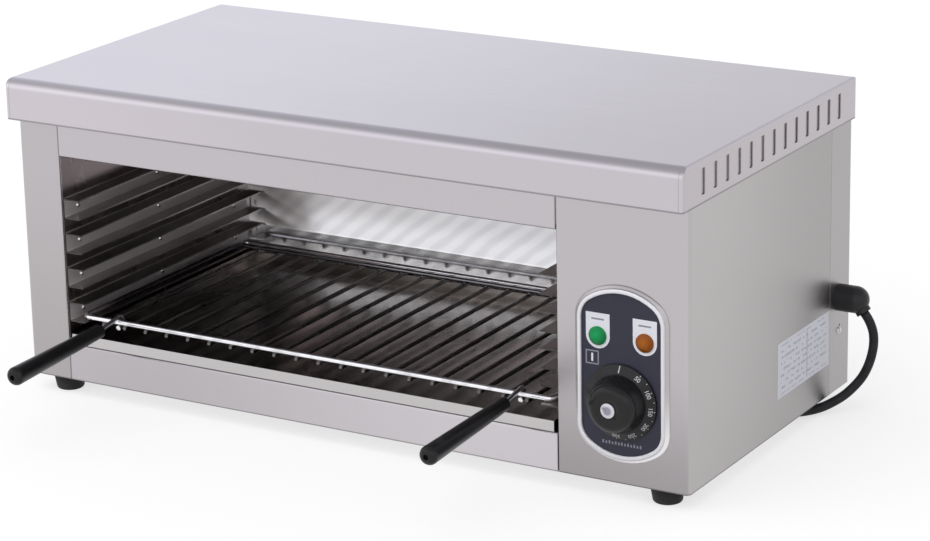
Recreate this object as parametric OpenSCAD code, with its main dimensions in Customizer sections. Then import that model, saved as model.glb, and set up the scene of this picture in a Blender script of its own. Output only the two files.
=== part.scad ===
// Countertop cheese melter: a folded steel cabinet with a heated cavity, four pairs of
// rack runners, a wire rack with two grips, a drip tray, a thermostat and two pilot lamps.
// Millimetres. X runs to the right as seen from the front, Y to the back, Z up.
// The origin is on the counter, under the middle of the whole footprint, grips included.

/* [Overall] */
// Width over the top cover
width = 609.6; // [500:0.1:760]
// Depth of the top cover
depth = 304.8; // [254:0.1:380]
// Height with the feet
height = 266.7; // [240:0.1:330]
// Thickness of the sheet steel
sheet = 1; // [0.6:0.1:1.4]

/* [Casing] */
// Distance from the nose of the top cover back to the front panels
nose_overhang = 12.8; // [8:0.1:20]
// Distance from the rear edge of the top cover in to the rear panel
rear_overhang = 3.5; // [2:0.1:8]
// Outer radius of the nose of the top cover
nose_r = 10; // [5:0.5:14]
// Height of the skirt of the top cover
skirt_h = 33.4; // [30:0.1:45]
// Outer radius of the upright bends of the panels
bend_r = 4; // [2.5:0.1:6]
// Width of the left post
post_w = 39.2; // [30:0.1:60]
// Width of the control front
control_w = 109.8; // [100:0.1:150]
// Distance from the top of the cover down to the opening
lintel_drop = 63.2; // [56:0.1:75]
// Height of the lower front panel
panel_h = 31; // [25:0.1:45]
// Depth of the side flanges of the rear panel
rear_flange = 39.8; // [34:0.1:60]
// Vent slots in each side skirt
vent_count = 13; // [4:1:16]
// Width of a vent slot
vent_w = 5.6; // [3:0.1:9]
// Height of a vent slot
vent_h = 20; // [10:0.5:22]
// Height of the feet
foot_h = 13.5; // [10:0.1:20]
// Diameter of a foot at its top
foot_d = 27; // [20:0.5:32]
// Distance from the side of the cover to the middle of a foot
foot_in = 27; // [20:0.5:50]

/* [Cavity] */
// Gap behind the cavity, wall included
rear_gap = 22.8; // [16:0.1:40]
// Distance from the top of the cover down to the cavity ceiling
ceiling_drop = 31; // [28:0.5:40]
// Rack levels
levels = 4; // [4:1:4]
// Height of a runner
runner_h = 16.5; // [13:0.1:20]
// Reach of a runner from the cavity wall
runner_w = 16; // [14:0.1:24]
// Distance from the opening's top edge down to the top runner
runner_top_gap = 36; // [30:0.1:50]
// Distance from the cavity floor up to the lowest runner
runner_bottom_gap = 18.8; // [16:0.1:26]
// Diameter of a rivet head
rivet_d = 5; // [4:0.1:6]
// Height of the rivets above the underside of their runner
rivet_up = 7.1; // [5:0.1:8]
// Distance from each end of a runner to its end rivets
rivet_in = 18.6; // [10:0.1:30]
// Diameter of the heating elements
element_d = 7; // [6:0.1:8.5]
// Distance between the legs of an element
element_pitch = 50; // [36:1:54]
// Height of an element's axis under the ceiling
element_drop = 13.7; // [10:0.1:20]
// Distance from the front panels back to the middle of the front element
element_front = 74; // [60:1:90]
// Distance from the cavity's rear wall to the middle of the rear element
element_rear = 72; // [60:1:90]

/* [Rack and tray] */
// Level on which the rack lies, counted from the top
rack_level = 4; // [1:1:4]
// Diameter of the rack's frame wire
frame_wire = 4.6; // [4:0.1:6]
// Diameter of the rack's rods
rod_wire = 3.8; // [3:0.1:4.5]
// Wanted distance between the rods
rod_spacing = 20.9; // [14:0.1:30]
// Distance from the front panels back to the front wire
rack_set = 9; // [5:0.1:14]
// Distance from the cavity wall to the side wire
rack_side = 10; // [8:0.1:11]
// Distance from the left side wire to the axis of the left handle
left_handle_in = 35.2; // [25:0.1:60]
// Distance from the right side wire to the axis of the right handle
right_handle_in = 26.6; // [20:0.1:60]
// Length of a handle rod from the front wire to its grip
neck_len = 23.4; // [15:0.1:30]
// Length of a grip
grip_len = 116; // [90:1:130]
// Diameter of a grip at its tip
grip_d = 15; // [13:0.1:18]
// Droop of the grips, in degrees
droop = 2.3; // [0:0.1:4]
// Height of the walls of the tray
tray_h = 8.6; // [6:0.1:9]

/* [Controls] */
// Width of the fascia
fascia_w = 72.4; // [60:0.1:84]
// Height of the fascia
fascia_h = 132.6; // [120:0.1:150]
// Height of the fascia's lower end above the base
fascia_low = 19.9; // [12:0.1:30]
// Height of the knob's axis above the fascia's lower end
knob_up = 45.6; // [40:0.1:55]
// Height of the lamps above the fascia's lower end
lamp_up = 94.3; // [86:0.1:110]
// Distance between the lamps
lamp_pitch = 39; // [30:0.1:44]
// Diameter of a lamp lens
lens_d = 14.5; // [10:0.1:16]
// Diameter of the dial skirt
dial_d = 59; // [50:0.5:62]
// Diameter of the knob
knob_d = 44; // [36:0.5:46]
// Diameter of the thermostat shaft
shaft_d = 6; // [5:0.1:8]
// Width of the label on the right side
label_w = 96; // [60:1:120]
// Height of the label
label_h = 44.9; // [20:0.1:60]
// Height of the label's lower edge above the base
label_up = 26.8; // [10:0.1:60]

/* [Power cord] */
// Diameter of the cord
cord_d = 7.5; // [7:0.1:8]
// Diameter of the gland
gland_d = 22; // [18:0.5:24]
// Height of the gland above the base
gland_up = 77.5; // [60:0.5:120]
// Distance from the rear panel forward to the gland
gland_in = 21.9; // [19:0.1:28]

/* [Hidden] */
$fn = 48;
eps = 0.01;

// Clearances
lid_fit = 0.2;      // between the skirt of the cover and the panels
cover_edge = 2.5;   // outer radius of the side and rear edges of the cover
seam = 0.3;         // between panels that butt
slip = 0.1;         // between a shank and its hole
run_fit = 0.05;     // radial, between a turning shaft and its bore
rest = 0.3;         // under a wire or tray that slides
hem_gap = 0.2;      // inside a folded hem

// Handles: a neck rises to the front wire and hooks round it, a grip droops from its foot
handle_wire = 4;
neck_rise = 10;
hook_tail = 2;
hook_r = frame_wire / 2 + handle_wire / 2 + 0.1;
grip_y = -neck_len * cos(neck_rise) - hook_r * sin(neck_rise);
grip_z = -neck_len * sin(neck_rise) + hook_r * cos(neck_rise);
grip_reach = grip_len * cos(droop) - grip_y - nose_overhang - rack_set;

// Planes of the casing
half = width / 2;
side_x = half - sheet - lid_fit;
nose_y = -(depth - grip_reach) / 2;
tail_y = nose_y + depth;
face_y = nose_y + nose_overhang;
back_y = tail_y - rear_overhang;
joint_y = back_y - rear_flange;
base_z = foot_h;
top_z = height - sheet;
panel_top = top_z - cover_edge + sheet;
skirt_z = height - skirt_h;

tab_w = 28;
lid_screw_in = 60;
base_screw_in = 40;
lid_screw_up = 12;
base_screw_up = 7;
foot_back = 16;

// Vent slots
vent_top = height - 6.7;
vent_first = nose_y + 33;
vent_last = tail_y - 33;
vent_corner = 1.2;

// Planes of the cavity
cav_l = -side_x + post_w;
cav_r = side_x - control_w;
cav_back = back_y - rear_gap;
open_top = height - lintel_drop;
floor_z = base_z + panel_h;
ceiling_z = height - ceiling_drop;
hem_r = sheet + hem_gap / 2;
hem_w = 10;
wall_y = face_y + 2 * hem_r;
flange_w = 12;

// Runners
runner_y0 = wall_y;
runner_y1 = cav_back - 5;
top_runner_z = open_top - runner_top_gap - runner_h;
low_runner_z = floor_z + runner_bottom_gap;
level_pitch = (top_runner_z - low_runner_z) / (levels - 1);
rivet_dome = 1.5;
rivet_shank = 3.2;
function runner_z(level) = top_runner_z - (level - 1) * level_pitch;
function rivet_ys() = [runner_y0 + rivet_in, (runner_y0 + runner_y1) / 2, runner_y1 - rivet_in];

// Elements
element_z = ceiling_z - element_drop;
element_y = [face_y + element_front, cav_back - element_rear];
element_bend_x = cav_l + 24 + element_pitch / 2;
bracket_x = cav_l + 90;
bush_d = 13;
bush_lip = 17;
cold_end = 26;
stud_d = 4;

// Rack and its handles
wire_y = face_y + rack_set;
wire_z = runner_z(rack_level) + sheet + rest + frame_wire / 2;
rack_l = cav_l + rack_side;
rack_r = cav_r - rack_side;
rack_back = runner_y1 - 17.5;
rack_bend = 6;
rear_wire_in = 9;
rod_overhang = 2.6;
rod_z = wire_z - (frame_wire + rod_wire) / 2;
rod_count = round((rack_r - rack_l) / rod_spacing);
rod_pitch = (rack_r - rack_l) / rod_count;
left_handle_x = rack_l + left_handle_in;
right_handle_x = rack_r - right_handle_in;
grip_root_d = 11;

// Tray
tray_t = 0.8;
tray_gap = 3.6;
tray_z = floor_z + rest;

// Controls
fascia_x = (cav_r + side_x) / 2;
label_t = 0.2;
fascia_z = base_z + fascia_low;
knob_z = fascia_z + knob_up;
lamp_z = fascia_z + lamp_up;
rim = 3;
rim_out = 3.4;
bevel = 3;
plate_t = 1.6;
plate_y = face_y - plate_t;
dial_gap = 0.8;
dial_y = plate_y - dial_gap;
dial_t = 4.6;
knob_l = 17;
knob_front = dial_y - dial_t - knob_l;
cap_d = 11.5;
shaft_tip = knob_front + 5;
thermo_w = 36;
thermo_h = 40;
thermo_l = 27;
thermo_y = face_y + sheet;
thermo_screw = 14;
lamp_hole = 10;
lens_tube = 9;

// Bulb of the thermostat, high on the right cavity wall
bulb_d = 6;
bulb_len = 86;
bulb_x = cav_r - 9;
bulb_z = top_runner_z + runner_h + 18;
bulb_y0 = (wall_y + cav_back) / 2 - bulb_len / 2;
bulb_y1 = bulb_y0 + bulb_len;
capillary_d = 1.6;
clip_in = 20;
clip_screw_up = 9;

// Gland, cord and plug
gland_y = back_y - gland_in;
gland_z = base_z + gland_up;
gland_len = 14.4;
nozzle_tilt = atan2(4, 3);
nozzle_len = 12.5;
nozzle_d = 12.5;
thread_d = 14;
screw_d = 3;
screw_head = 6.4;
side_screw_z = base_z + 49.7;
terminal_y = joint_y - 40;
earth_x = fascia_x + 30;
earth_y = terminal_y - 45;

// ---------------------------------------------------------------- small helpers

// Box between two corners
module slab(x0, x1, y0, y1, z0, z1) {
    translate([x0, y0, z0])
        cube([x1 - x0, y1 - y0, z1 - z0]);
}

// Flat rectangle with round corners, between two corners
module round_rect(x0, x1, y0, y1, r) {
    translate([x0, y0 + r])
        square([x1 - x0, y1 - y0 - 2 * r]);
    translate([x0 + r, y0])
        square([x1 - x0 - 2 * r, y1 - y0]);
    for (x = [x0 + r, x1 - r], y = [y0 + r, y1 - r])
        translate([x, y])
            circle(r);
}

// Quarter of a ring in the first quadrant, for a bend of sheet
module quarter_ring(r, t) {
    intersection() {
        difference() {
            circle(r);
            circle(r - t);
        }
        square(r + 1);
    }
}

// Plan of a folded hem whose round edge is at x, with the sheet running to the side dir
module hem_plan(x, dir) {
    translate([x, face_y])
        mirror([dir < 0 ? 1 : 0, 0]) {
            translate([hem_r, hem_r]) {
                rotate(90)
                    quarter_ring(hem_r, sheet);
                rotate(180)
                    quarter_ring(hem_r, sheet);
            }
            translate([hem_r, 2 * hem_r - sheet])
                square([hem_w, sheet]);
        }
}

// Cylinder along +X from a point
module rod_x(x, y, z, d, len) {
    translate([x, y, z])
        rotate([0, 90, 0])
            cylinder(d = d, h = len);
}

// Cylinder along +Y from a point
module rod_y(x, y, z, d, len) {
    translate([x, y, z])
        rotate([-90, 0, 0])
            cylinder(d = d, h = len);
}

// Spherical cap standing on the XY plane
module dome(d, h) {
    ball = (d * d / 4 + h * h) / (2 * h);
    intersection() {
        translate([0, 0, h - ball])
            sphere(ball);
        cylinder(d = d + 1, h = h + 1);
    }
}

// ---------------------------------------------------------------- casing

// Outer or inner volume of the cover, in from the outside by t
module cover_volume(t, bottom) {
    nose = nose_r - t;
    edge = cover_edge - t;
    low = bottom - 1;
    intersection() {
        translate([-half + t, 0, 0])
            rotate([90, 0, 90])
                linear_extrude(width - 2 * t)
                    union() {
                        translate([nose_y + t, low])
                            square([depth - 2 * t, height - nose_r - low]);
                        translate([nose_y + nose_r, height - nose_r - eps])
                            square([depth - nose_r - cover_edge, nose + eps]);
                        translate([nose_y + nose_r, height - nose_r])
                            circle(nose);
                        translate([tail_y - cover_edge, height - cover_edge])
                            circle(edge);
                        translate([tail_y - cover_edge - eps, height - nose_r - eps])
                            square([edge + eps, nose_r - cover_edge + eps]);
                    }
        translate([0, tail_y + 1, 0])
            rotate([90, 0, 0])
                linear_extrude(depth + 2)
                    round_rect(-half + t, half - t, low - 10, height - t, edge);
        translate([0, 0, bottom])
            linear_extrude(height)
                round_rect(-half + t, half - t, nose_y + t, tail_y - t, edge);
    }
}

module vent_slots() {
    pitch = (vent_last - vent_first) / (vent_count - 1);
    for (i = [0 : vent_count - 1])
        translate([-half - 5, vent_first + i * pitch, 0])
            rotate([90, 0, 90])
                linear_extrude(width + 10)
                    round_rect(-vent_w / 2, vent_w / 2, vent_top - vent_h, vent_top, vent_corner);
}

module top_cover() {
    color("silver") {
        difference() {
            cover_volume(0, skirt_z);
            cover_volume(sheet, skirt_z - 1);
            intersection() {
                vent_slots();
                slab(-half - 6, half + 6, nose_y + nose_r, tail_y - 8, skirt_z, height);
            }
            for (x = lid_screws())
                rod_y(x, tail_y - 10, skirt_z + lid_screw_up, screw_d + slip, 20);
        }
        slab(-half + sheet, half - sheet, nose_y + sheet, face_y - lid_fit, skirt_z, skirt_z + sheet);
    }
}

// Plan of a side panel with its front, on the right-hand side, with the front running to x_in
module side_plan(x_in) {
    translate([side_x - bend_r, face_y + bend_r])
        rotate(-90)
            quarter_ring(bend_r, sheet);
    translate([side_x - sheet, face_y + bend_r])
        square([sheet, joint_y - seam - face_y - bend_r]);
    translate([x_in + hem_r, face_y])
        square([side_x - bend_r - x_in - hem_r, sheet]);
    hem_plan(x_in, 1);
    // joggled tab behind the flange of the rear panel
    translate([side_x - 2 * sheet - slip, joint_y - 8])
        square([sheet, 8 + tab_w]);
    translate([side_x - sheet - slip - eps, joint_y - 8])
        square([slip + 2 * eps, 7]);
}

module side_tab_holes() {
    for (s = [-1, 1])
        rod_x(s > 0 ? side_x - 5 : -side_x - 5, gland_y, side_screw_z, screw_d + slip, 10);
}

module left_side_panel() {
    color("silver")
        difference() {
            mirror([1, 0, 0])
                translate([0, 0, base_z])
                    linear_extrude(panel_top - base_z)
                        side_plan(-cav_l);
            side_tab_holes();
        }
}

module gland_hole(d) {
    rod_x(side_x - 10, gland_y, gland_z, d, 20);
}

module control_housing() {
    color("silver")
        difference() {
            translate([0, 0, base_z])
                linear_extrude(panel_top - base_z)
                    side_plan(cav_r);
            side_tab_holes();
            gland_hole(thread_d + 2 * slip);
            rod_y(fascia_x, face_y - 5, knob_z, 11, 10);
            for (s = [-1, 1]) {
                rod_y(fascia_x + s * thermo_screw, face_y - 5, knob_z, 4 + slip, 10);
                rod_y(fascia_x + s * lamp_pitch / 2, face_y - 5, lamp_z, lamp_hole + 2 * slip, 10);
            }
        }
}

// Side view of a rail: an upright sheet with a round lower or upper front edge and a flange back
module rail_profile(z0, z1, flange_at_top) {
    r = 2;
    zf = flange_at_top ? z1 : z0;
    s = flange_at_top ? -1 : 1;
    translate([face_y, min(zf + s * r, flange_at_top ? z0 : z1)])
        square([sheet, z1 - z0 - r]);
    translate([face_y + r, zf + s * r])
        rotate(flange_at_top ? 90 : 180)
            quarter_ring(r, sheet);
    translate([face_y + r, flange_at_top ? z1 - sheet : z0])
        square([flange_w - r, sheet]);
}

module front_rail(z0, z1, flange_at_top) {
    translate([cav_l + seam, 0, 0])
        rotate([90, 0, 90])
            linear_extrude(cav_r - cav_l - 2 * seam)
                rail_profile(z0, z1, flange_at_top);
}

module upper_front_rail() {
    color("silver") {
        front_rail(open_top, top_z, false);
        slab(cav_l + seam, cav_r - seam, face_y + sheet - eps, face_y + flange_w, top_z - sheet, top_z);
    }
}

module lower_front_panel() {
    color("silver")
        front_rail(base_z, floor_z, true);
}

module rear_panel() {
    color("silver")
        difference() {
            translate([0, 0, base_z])
                linear_extrude(panel_top - base_z)
                    difference() {
                        round_rect(-side_x, side_x, joint_y - 20, back_y, bend_r);
                        round_rect(
                            -side_x + sheet, side_x - sheet, joint_y - 30, back_y - sheet,
                            bend_r - sheet
                        );
                        translate([-width, joint_y - 50])
                            square([2 * width, 50]);
                    }
            side_tab_holes();
            rod_x(side_x - 5, gland_y + 1, side_screw_z + 4.2, 2, 10);
            gland_hole(thread_d + 2 * slip);
            for (x = lid_screws())
                rod_y(x, back_y - 5, skirt_z + lid_screw_up, screw_d + slip, 10);
            for (x = base_screws())
                rod_y(x, back_y - 5, base_z + base_screw_up, screw_d + slip, 10);
        }
}

function lid_screws() = [-half + lid_screw_in, 0, half - lid_screw_in];
function base_screws() = [-half + base_screw_in, 0, half - base_screw_in];

module base_plate() {
    inner_x = side_x - sheet - 2 * slip;
    color("silver")
        difference() {
            union() {
                translate([0, 0, base_z])
                    linear_extrude(sheet)
                        round_rect(-inner_x, inner_x, wall_y + slip, back_y - sheet - slip, bend_r);
                slab(
                    -inner_x + 20, inner_x - 20, back_y - 2 * sheet - slip, back_y - sheet - slip,
                    base_z, base_z + 14
                );
            }
            for (x = base_screws())
                rod_y(x, back_y - 5, base_z + base_screw_up, screw_d + slip, 10);
            for (p = foot_places())
                translate([p[0], p[1], base_z - 1])
                    cylinder(d = 4 + 2 * slip, h = 5);
            for (s = [-1, 1]) {
                slab(
                    s > 0 ? inner_x - sheet - slip : -inner_x - 1,
                    s > 0 ? inner_x + 1 : -inner_x + sheet + slip,
                    joint_y - 9, joint_y + tab_w + 1, base_z - 1, base_z + 2
                );
                rod_z_hole(fascia_x + s * 12, terminal_y, 3 + slip);
            }
            rod_z_hole(earth_x, earth_y, 5 + slip);
        }
}

module rod_z_hole(x, y, d) {
    translate([x, y, base_z - 1])
        cylinder(d = d, h = 4);
}

function foot_places() = [
    for (y = [face_y + foot_back, back_y - foot_back], x = [-half + foot_in, half - foot_in]) [x, y]
];

// ---------------------------------------------------------------- cavity

// Left or right cavity wall, with a flange behind the front, its rivet holes in place
module cavity_wall(s) {
    x = s < 0 ? cav_l : cav_r;
    a = s < 0 ? x - sheet : x;
    difference() {
        union() {
            slab(a, a + sheet, wall_y, cav_back + sheet, base_z + sheet, ceiling_z);
            slab(
                s < 0 ? a - flange_w : a, s < 0 ? a + sheet : a + sheet + flange_w,
                wall_y, wall_y + sheet, base_z + sheet, ceiling_z
            );
        }
        rivet_holes(s);
    }
}

// Holes of the rivets, through wall and web
module rivet_holes(s) {
    x = s < 0 ? cav_l : cav_r;
    for (level = [1 : levels], y = rivet_ys())
        rod_x(x - 5, y, runner_z(level) + rivet_up, rivet_shank + slip, 10);
}

module cavity_left_wall() {
    color("gray")
        cavity_wall(-1);
}

module cavity_right_wall() {
    color("gray")
        difference() {
            cavity_wall(1);
            for (y = element_y, s = [-1, 1])
                rod_x(cav_r - 5, y + s * element_pitch / 2, element_z, bush_d + 2 * slip, 10);
            rod_x(cav_r - 5, bulb_y1 + 12, bulb_z, capillary_d + 1, 10);
            for (y = clip_ys())
                rod_x(cav_r - 5, y, bulb_z + clip_screw_up, screw_d + slip, 10);
        }
}

module cavity_rear_wall() {
    color("gainsboro")
        slab(cav_l, cav_r, cav_back, cav_back + sheet, base_z + sheet, ceiling_z);
}

module cavity_ceiling() {
    color("gray")
        difference() {
            slab(
                cav_l - sheet, cav_r + sheet, wall_y, cav_back + sheet,
                ceiling_z, ceiling_z + sheet
            );
            for (y = element_y, s = [-1, 1])
                translate([bracket_x + 6, y + s * 10, ceiling_z - 1])
                    cylinder(d = screw_d + slip, h = 5);
        }
}

module cavity_floor() {
    color("gray") {
        slab(cav_l, cav_r, face_y + flange_w + seam, cav_back, floor_z - sheet, floor_z);
        for (x = [cav_l, cav_r - sheet])
            slab(x, x + sheet, face_y + flange_w + seam, cav_back, floor_z - 12, floor_z - sheet + eps);
    }
}

// Channel that opens towards the cavity and carries one side of the rack
module runner(s, level) {
    x = s < 0 ? cav_l : cav_r;
    tip = x - s * runner_w;
    web = x - s * sheet;
    z = runner_z(level);
    color("dimgray")
        difference() {
            union() {
                slab(min(x, web), max(x, web), runner_y0, runner_y1, z, z + runner_h);
                for (h = [0, runner_h - sheet])
                    slab(min(x, tip), max(x, tip), runner_y0, runner_y1, z + h, z + h + sheet);
            }
            rivet_holes(s);
        }
}

module runner_rivets() {
    color("white")
        for (s = [-1, 1], level = [1 : levels], y = rivet_ys())
            translate([s < 0 ? cav_l : cav_r, y, runner_z(level) + rivet_up])
                rotate([0, s < 0 ? 90 : -90, 0]) {
                    translate([0, 0, sheet])
                        dome(rivet_d, rivet_dome);
                    translate([0, 0, -sheet])
                        cylinder(d = rivet_shank, h = 2 * sheet + eps);
                    translate([0, 0, -sheet - 0.8])
                        cylinder(d = rivet_d, h = 0.8);
                }
}

// ---------------------------------------------------------------- heating

// Hairpin of tube with two legs along X
module heating_element(y) {
    color("dimgray")
        translate([element_bend_x, y, element_z]) {
            for (s = [-1, 1])
                rod_x(0, s * element_pitch / 2, 0, element_d, cav_r + cold_end - element_bend_x);
            rotate(90)
                rotate_extrude(angle = 180)
                    translate([element_pitch / 2, 0])
                        circle(d = element_d);
        }
}

module element_insulators() {
    color("ivory")
        for (y = element_y, s = [-1, 1])
            difference() {
                union() {
                    rod_x(cav_r - 3, y + s * element_pitch / 2, element_z, bush_lip, 3);
                    rod_x(cav_r - 3, y + s * element_pitch / 2, element_z, bush_d, 12);
                }
                rod_x(cav_r - 10, y + s * element_pitch / 2, element_z, element_d + 2 * slip, 30);
            }
}

// Threaded end and nut on each leg
module element_terminals() {
    color("gold")
        for (y = element_y, s = [-1, 1])
            translate([cav_r + cold_end, y + s * element_pitch / 2, element_z])
                rotate([0, 90, 0]) {
                    cylinder(d = stud_d, h = 14);
                    translate([0, 0, 4])
                        cylinder(d = 7, h = 3, $fn = 6);
                }
}

// Strap under the ceiling with a hole for each leg
module element_brackets() {
    color("gray")
        for (y = element_y)
            difference() {
                union() {
                    slab(
                        bracket_x, bracket_x + sheet,
                        y - element_pitch / 2 - 8, y + element_pitch / 2 + 8,
                        element_z - element_d / 2 - 4, ceiling_z
                    );
                    slab(
                        bracket_x, bracket_x + 12,
                        y - element_pitch / 2 - 8, y + element_pitch / 2 + 8,
                        ceiling_z - sheet, ceiling_z
                    );
                }
                for (s = [-1, 1]) {
                    rod_x(bracket_x - 5, y + s * element_pitch / 2, element_z, element_d + 4 * slip, 10);
                    translate([bracket_x + 6, y + s * 10, ceiling_z - 5])
                        cylinder(d = screw_d + slip, h = 10);
                }
            }
}

// ---------------------------------------------------------------- controls

// Plate outline with straight sides, a shallow arc at each end and round corners
module oval_plate(w, h, corner) {
    a = w / 2;
    crown = a + 12;
    dx = a - corner;
    dy = sqrt((crown - corner) * (crown - corner) - dx * dx);
    straight = h / 2 - crown + dy;
    translate([-a, -straight])
        square([w, 2 * straight]);
    for (s = [-1, 1]) {
        for (x = [-dx, dx])
            translate([x, s * straight])
                circle(corner);
        translate([0, s * (h / 2 - crown)])
            intersection() {
                circle(crown);
                polygon([[0, -s], [3 * dx, s * 3 * dy], [-3 * dx, s * 3 * dy]]);
            }
    }
}

// Fascia outline cut in by t, standing on the control front, thick forward of it
module fascia_blank(t, thick) {
    translate([fascia_x, face_y, fascia_z + fascia_h / 2])
        rotate([90, 0, 0])
            linear_extrude(thick)
                oval_plate(fascia_w - 2 * t, fascia_h - 2 * t, 20 - t);
}

module fascia_bezel() {
    color("white")
        difference() {
            union() {
                fascia_blank(0, rim_out);
                for (step = [0 : 2])
                    fascia_blank(-bevel * (3 - step) / 3, rim_out * (step + 1) / 5);
            }
            fascia_blank(rim, 2 * rim_out);
        }
}

module fascia_plate() {
    color([0.24, 0.24, 0.3])
        difference() {
            fascia_blank(rim + slip, plate_t);
            rod_y(fascia_x, face_y - 10, knob_z, 11, 20);
            for (s = [-1, 1]) {
                rod_y(fascia_x + s * thermo_screw, face_y - 10, knob_z, 4 + slip, 20);
                rod_y(fascia_x + s * lamp_pitch / 2, face_y - 10, lamp_z, lamp_hole + 2 * slip, 20);
            }
        }
}

// Lens with a flange on the plate and a tube through the front
module lamp_lens(s) {
    translate([fascia_x + s * lamp_pitch / 2, plate_y, lamp_z])
        rotate([90, 0, 0]) {
            cylinder(d = lens_d, h = 1);
            translate([0, 0, 1 - eps])
                dome(lens_d, 2.6);
            translate([0, 0, -plate_t - sheet - 3])
                cylinder(d = lens_tube, h = plate_t + sheet + 3 + eps);
        }
}

module green_lamp_lens() {
    color("green")
        lamp_lens(-1);
}

module amber_lamp_lens() {
    color("darkorange")
        lamp_lens(1);
}

// Body of each lamp behind the front, with its spring collar and two tabs
module lamp_bodies() {
    color("white")
        for (s = [-1, 1])
            translate([fascia_x + s * lamp_pitch / 2, face_y + sheet, lamp_z]) {
                difference() {
                    rotate([-90, 0, 0])
                        cylinder(d = 14, h = 20);
                    rotate([-90, 0, 0])
                        translate([0, 0, -1])
                            cylinder(d = lens_tube + 2 * slip, h = 4.2);
                }
                for (t = [-1, 1])
                    translate([t * 3 - 0.4, 20 - eps, -2.4])
                        cube([0.8, 8, 4.8]);
            }
}

module thermostat_body() {
    color("tan")
        difference() {
            union() {
                slab(
                    fascia_x - thermo_w / 2, fascia_x + thermo_w / 2,
                    thermo_y, thermo_y + thermo_l, knob_z - thermo_h / 2, knob_z + thermo_h / 2
                );
                rod_y(fascia_x, face_y - 1.4, knob_z, 10, sheet + 1.4 + eps);
            }
            rod_y(fascia_x, face_y - 10, knob_z, shaft_d + 2 * run_fit, 26);
            for (s = [-1, 1])
                rod_y(fascia_x + s * thermo_screw, thermo_y - 1, knob_z, 4 + slip, 11);
        }
}

module thermostat_shaft() {
    back = face_y + 13;
    color("silver")
        difference() {
            rod_y(fascia_x, shaft_tip, knob_z, shaft_d, back - shaft_tip);
            slab(
                fascia_x - shaft_d, fascia_x + shaft_d, shaft_tip - 1, dial_y - 1,
                knob_z + shaft_d / 2 - 1.5, knob_z + shaft_d
            );
        }
}

// Shape of the shaft end with its flat, a little larger all round
module shaft_socket() {
    difference() {
        rod_y(fascia_x, shaft_tip - 0.5, knob_z, shaft_d + 2 * run_fit, 60);
        slab(
            fascia_x - shaft_d, fascia_x + shaft_d, shaft_tip - 1, dial_y - 1,
            knob_z + shaft_d / 2 - 1.5 + run_fit, knob_z + shaft_d
        );
    }
}

// Hollow conical disc that carries the scale
module dial_skirt() {
    hollow = 1.4;
    color("black")
        translate([fascia_x, dial_y, knob_z])
            rotate([90, 0, 0])
                difference() {
                    rotate_extrude()
                        polygon([
                            [0, 0], [dial_d / 2, 0], [dial_d / 2, 1.2],
                            [knob_d / 2 + 1, dial_t], [0, dial_t]
                        ]);
                    translate([0, 0, -1])
                        cylinder(d = dial_d - 5, h = hollow + 1);
                    cylinder(d = 14, h = 20);
                }
}

// Round knob with a full shoulder and a shallow dish round its cap
module control_knob() {
    r = 8;
    a = knob_d / 2;
    b = a - 2.5;
    dish = 0.7;
    color([0.1, 0.1, 0.1])
        difference() {
            union() {
                translate([fascia_x, dial_y - dial_t, knob_z])
                    rotate([90, 0, 0])
                        rotate_extrude()
                            union() {
                                polygon([
                                    [0, 0], [a, 0], [b, knob_l - r], [b - r, knob_l - r],
                                    [b - r, knob_l], [cap_d - 2.5, knob_l],
                                    [cap_d / 2 + 0.6, knob_l - dish], [0, knob_l - dish]
                                ]);
                                translate([b - r, knob_l - r])
                                    intersection() {
                                        circle(r);
                                        square(r + 1);
                                    }
                            }
                rod_y(fascia_x, dial_y - dial_t - 1, knob_z, 13.8, dial_t + 0.4);
            }
            shaft_socket();
            rod_y(fascia_x, knob_front - 1, knob_z, cap_d + 2 * slip, 2.5);
        }
}

module knob_cap() {
    color("silver")
        translate([fascia_x, knob_front + 1.4, knob_z])
            rotate([90, 0, 0]) {
                cylinder(d = cap_d, h = 1.6);
                translate([0, 0, 1.6 - eps])
                    dome(cap_d - 1.6, 1);
            }
}

function clip_ys() = [bulb_y0 + clip_in, bulb_y1 - clip_in];

// Round wire through a list of points, with a slightly larger ball at each bend
module wire_path(points, d) {
    for (i = [0 : len(points) - 2]) {
        step = points[i + 1] - points[i];
        long = norm(step);
        translate(points[i])
            rotate([0, acos(step[2] / long), atan2(step[1], step[0])])
                cylinder(d = d, h = long);
    }
    for (i = [1 : len(points) - 2])
        translate(points[i])
            sphere(d = d + 0.3);
}

// Bulb of the thermostat along the right wall and its thin tube back to the thermostat
module sensing_bulb() {
    y = bulb_y1 + 12;
    tail = [
        [bulb_x, bulb_y1 - 2, bulb_z],
        [bulb_x, y, bulb_z],
        [cav_r + 14, y, bulb_z],
        [cav_r + 14, y, knob_z + 8],
        [fascia_x - 8, y, knob_z + 8],
        [fascia_x - 8, thermo_y + thermo_l, knob_z + 8]
    ];
    color("peru") {
        rod_y(bulb_x, bulb_y0, bulb_z, bulb_d, bulb_len);
        wire_path(tail, capillary_d);
    }
}

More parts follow.
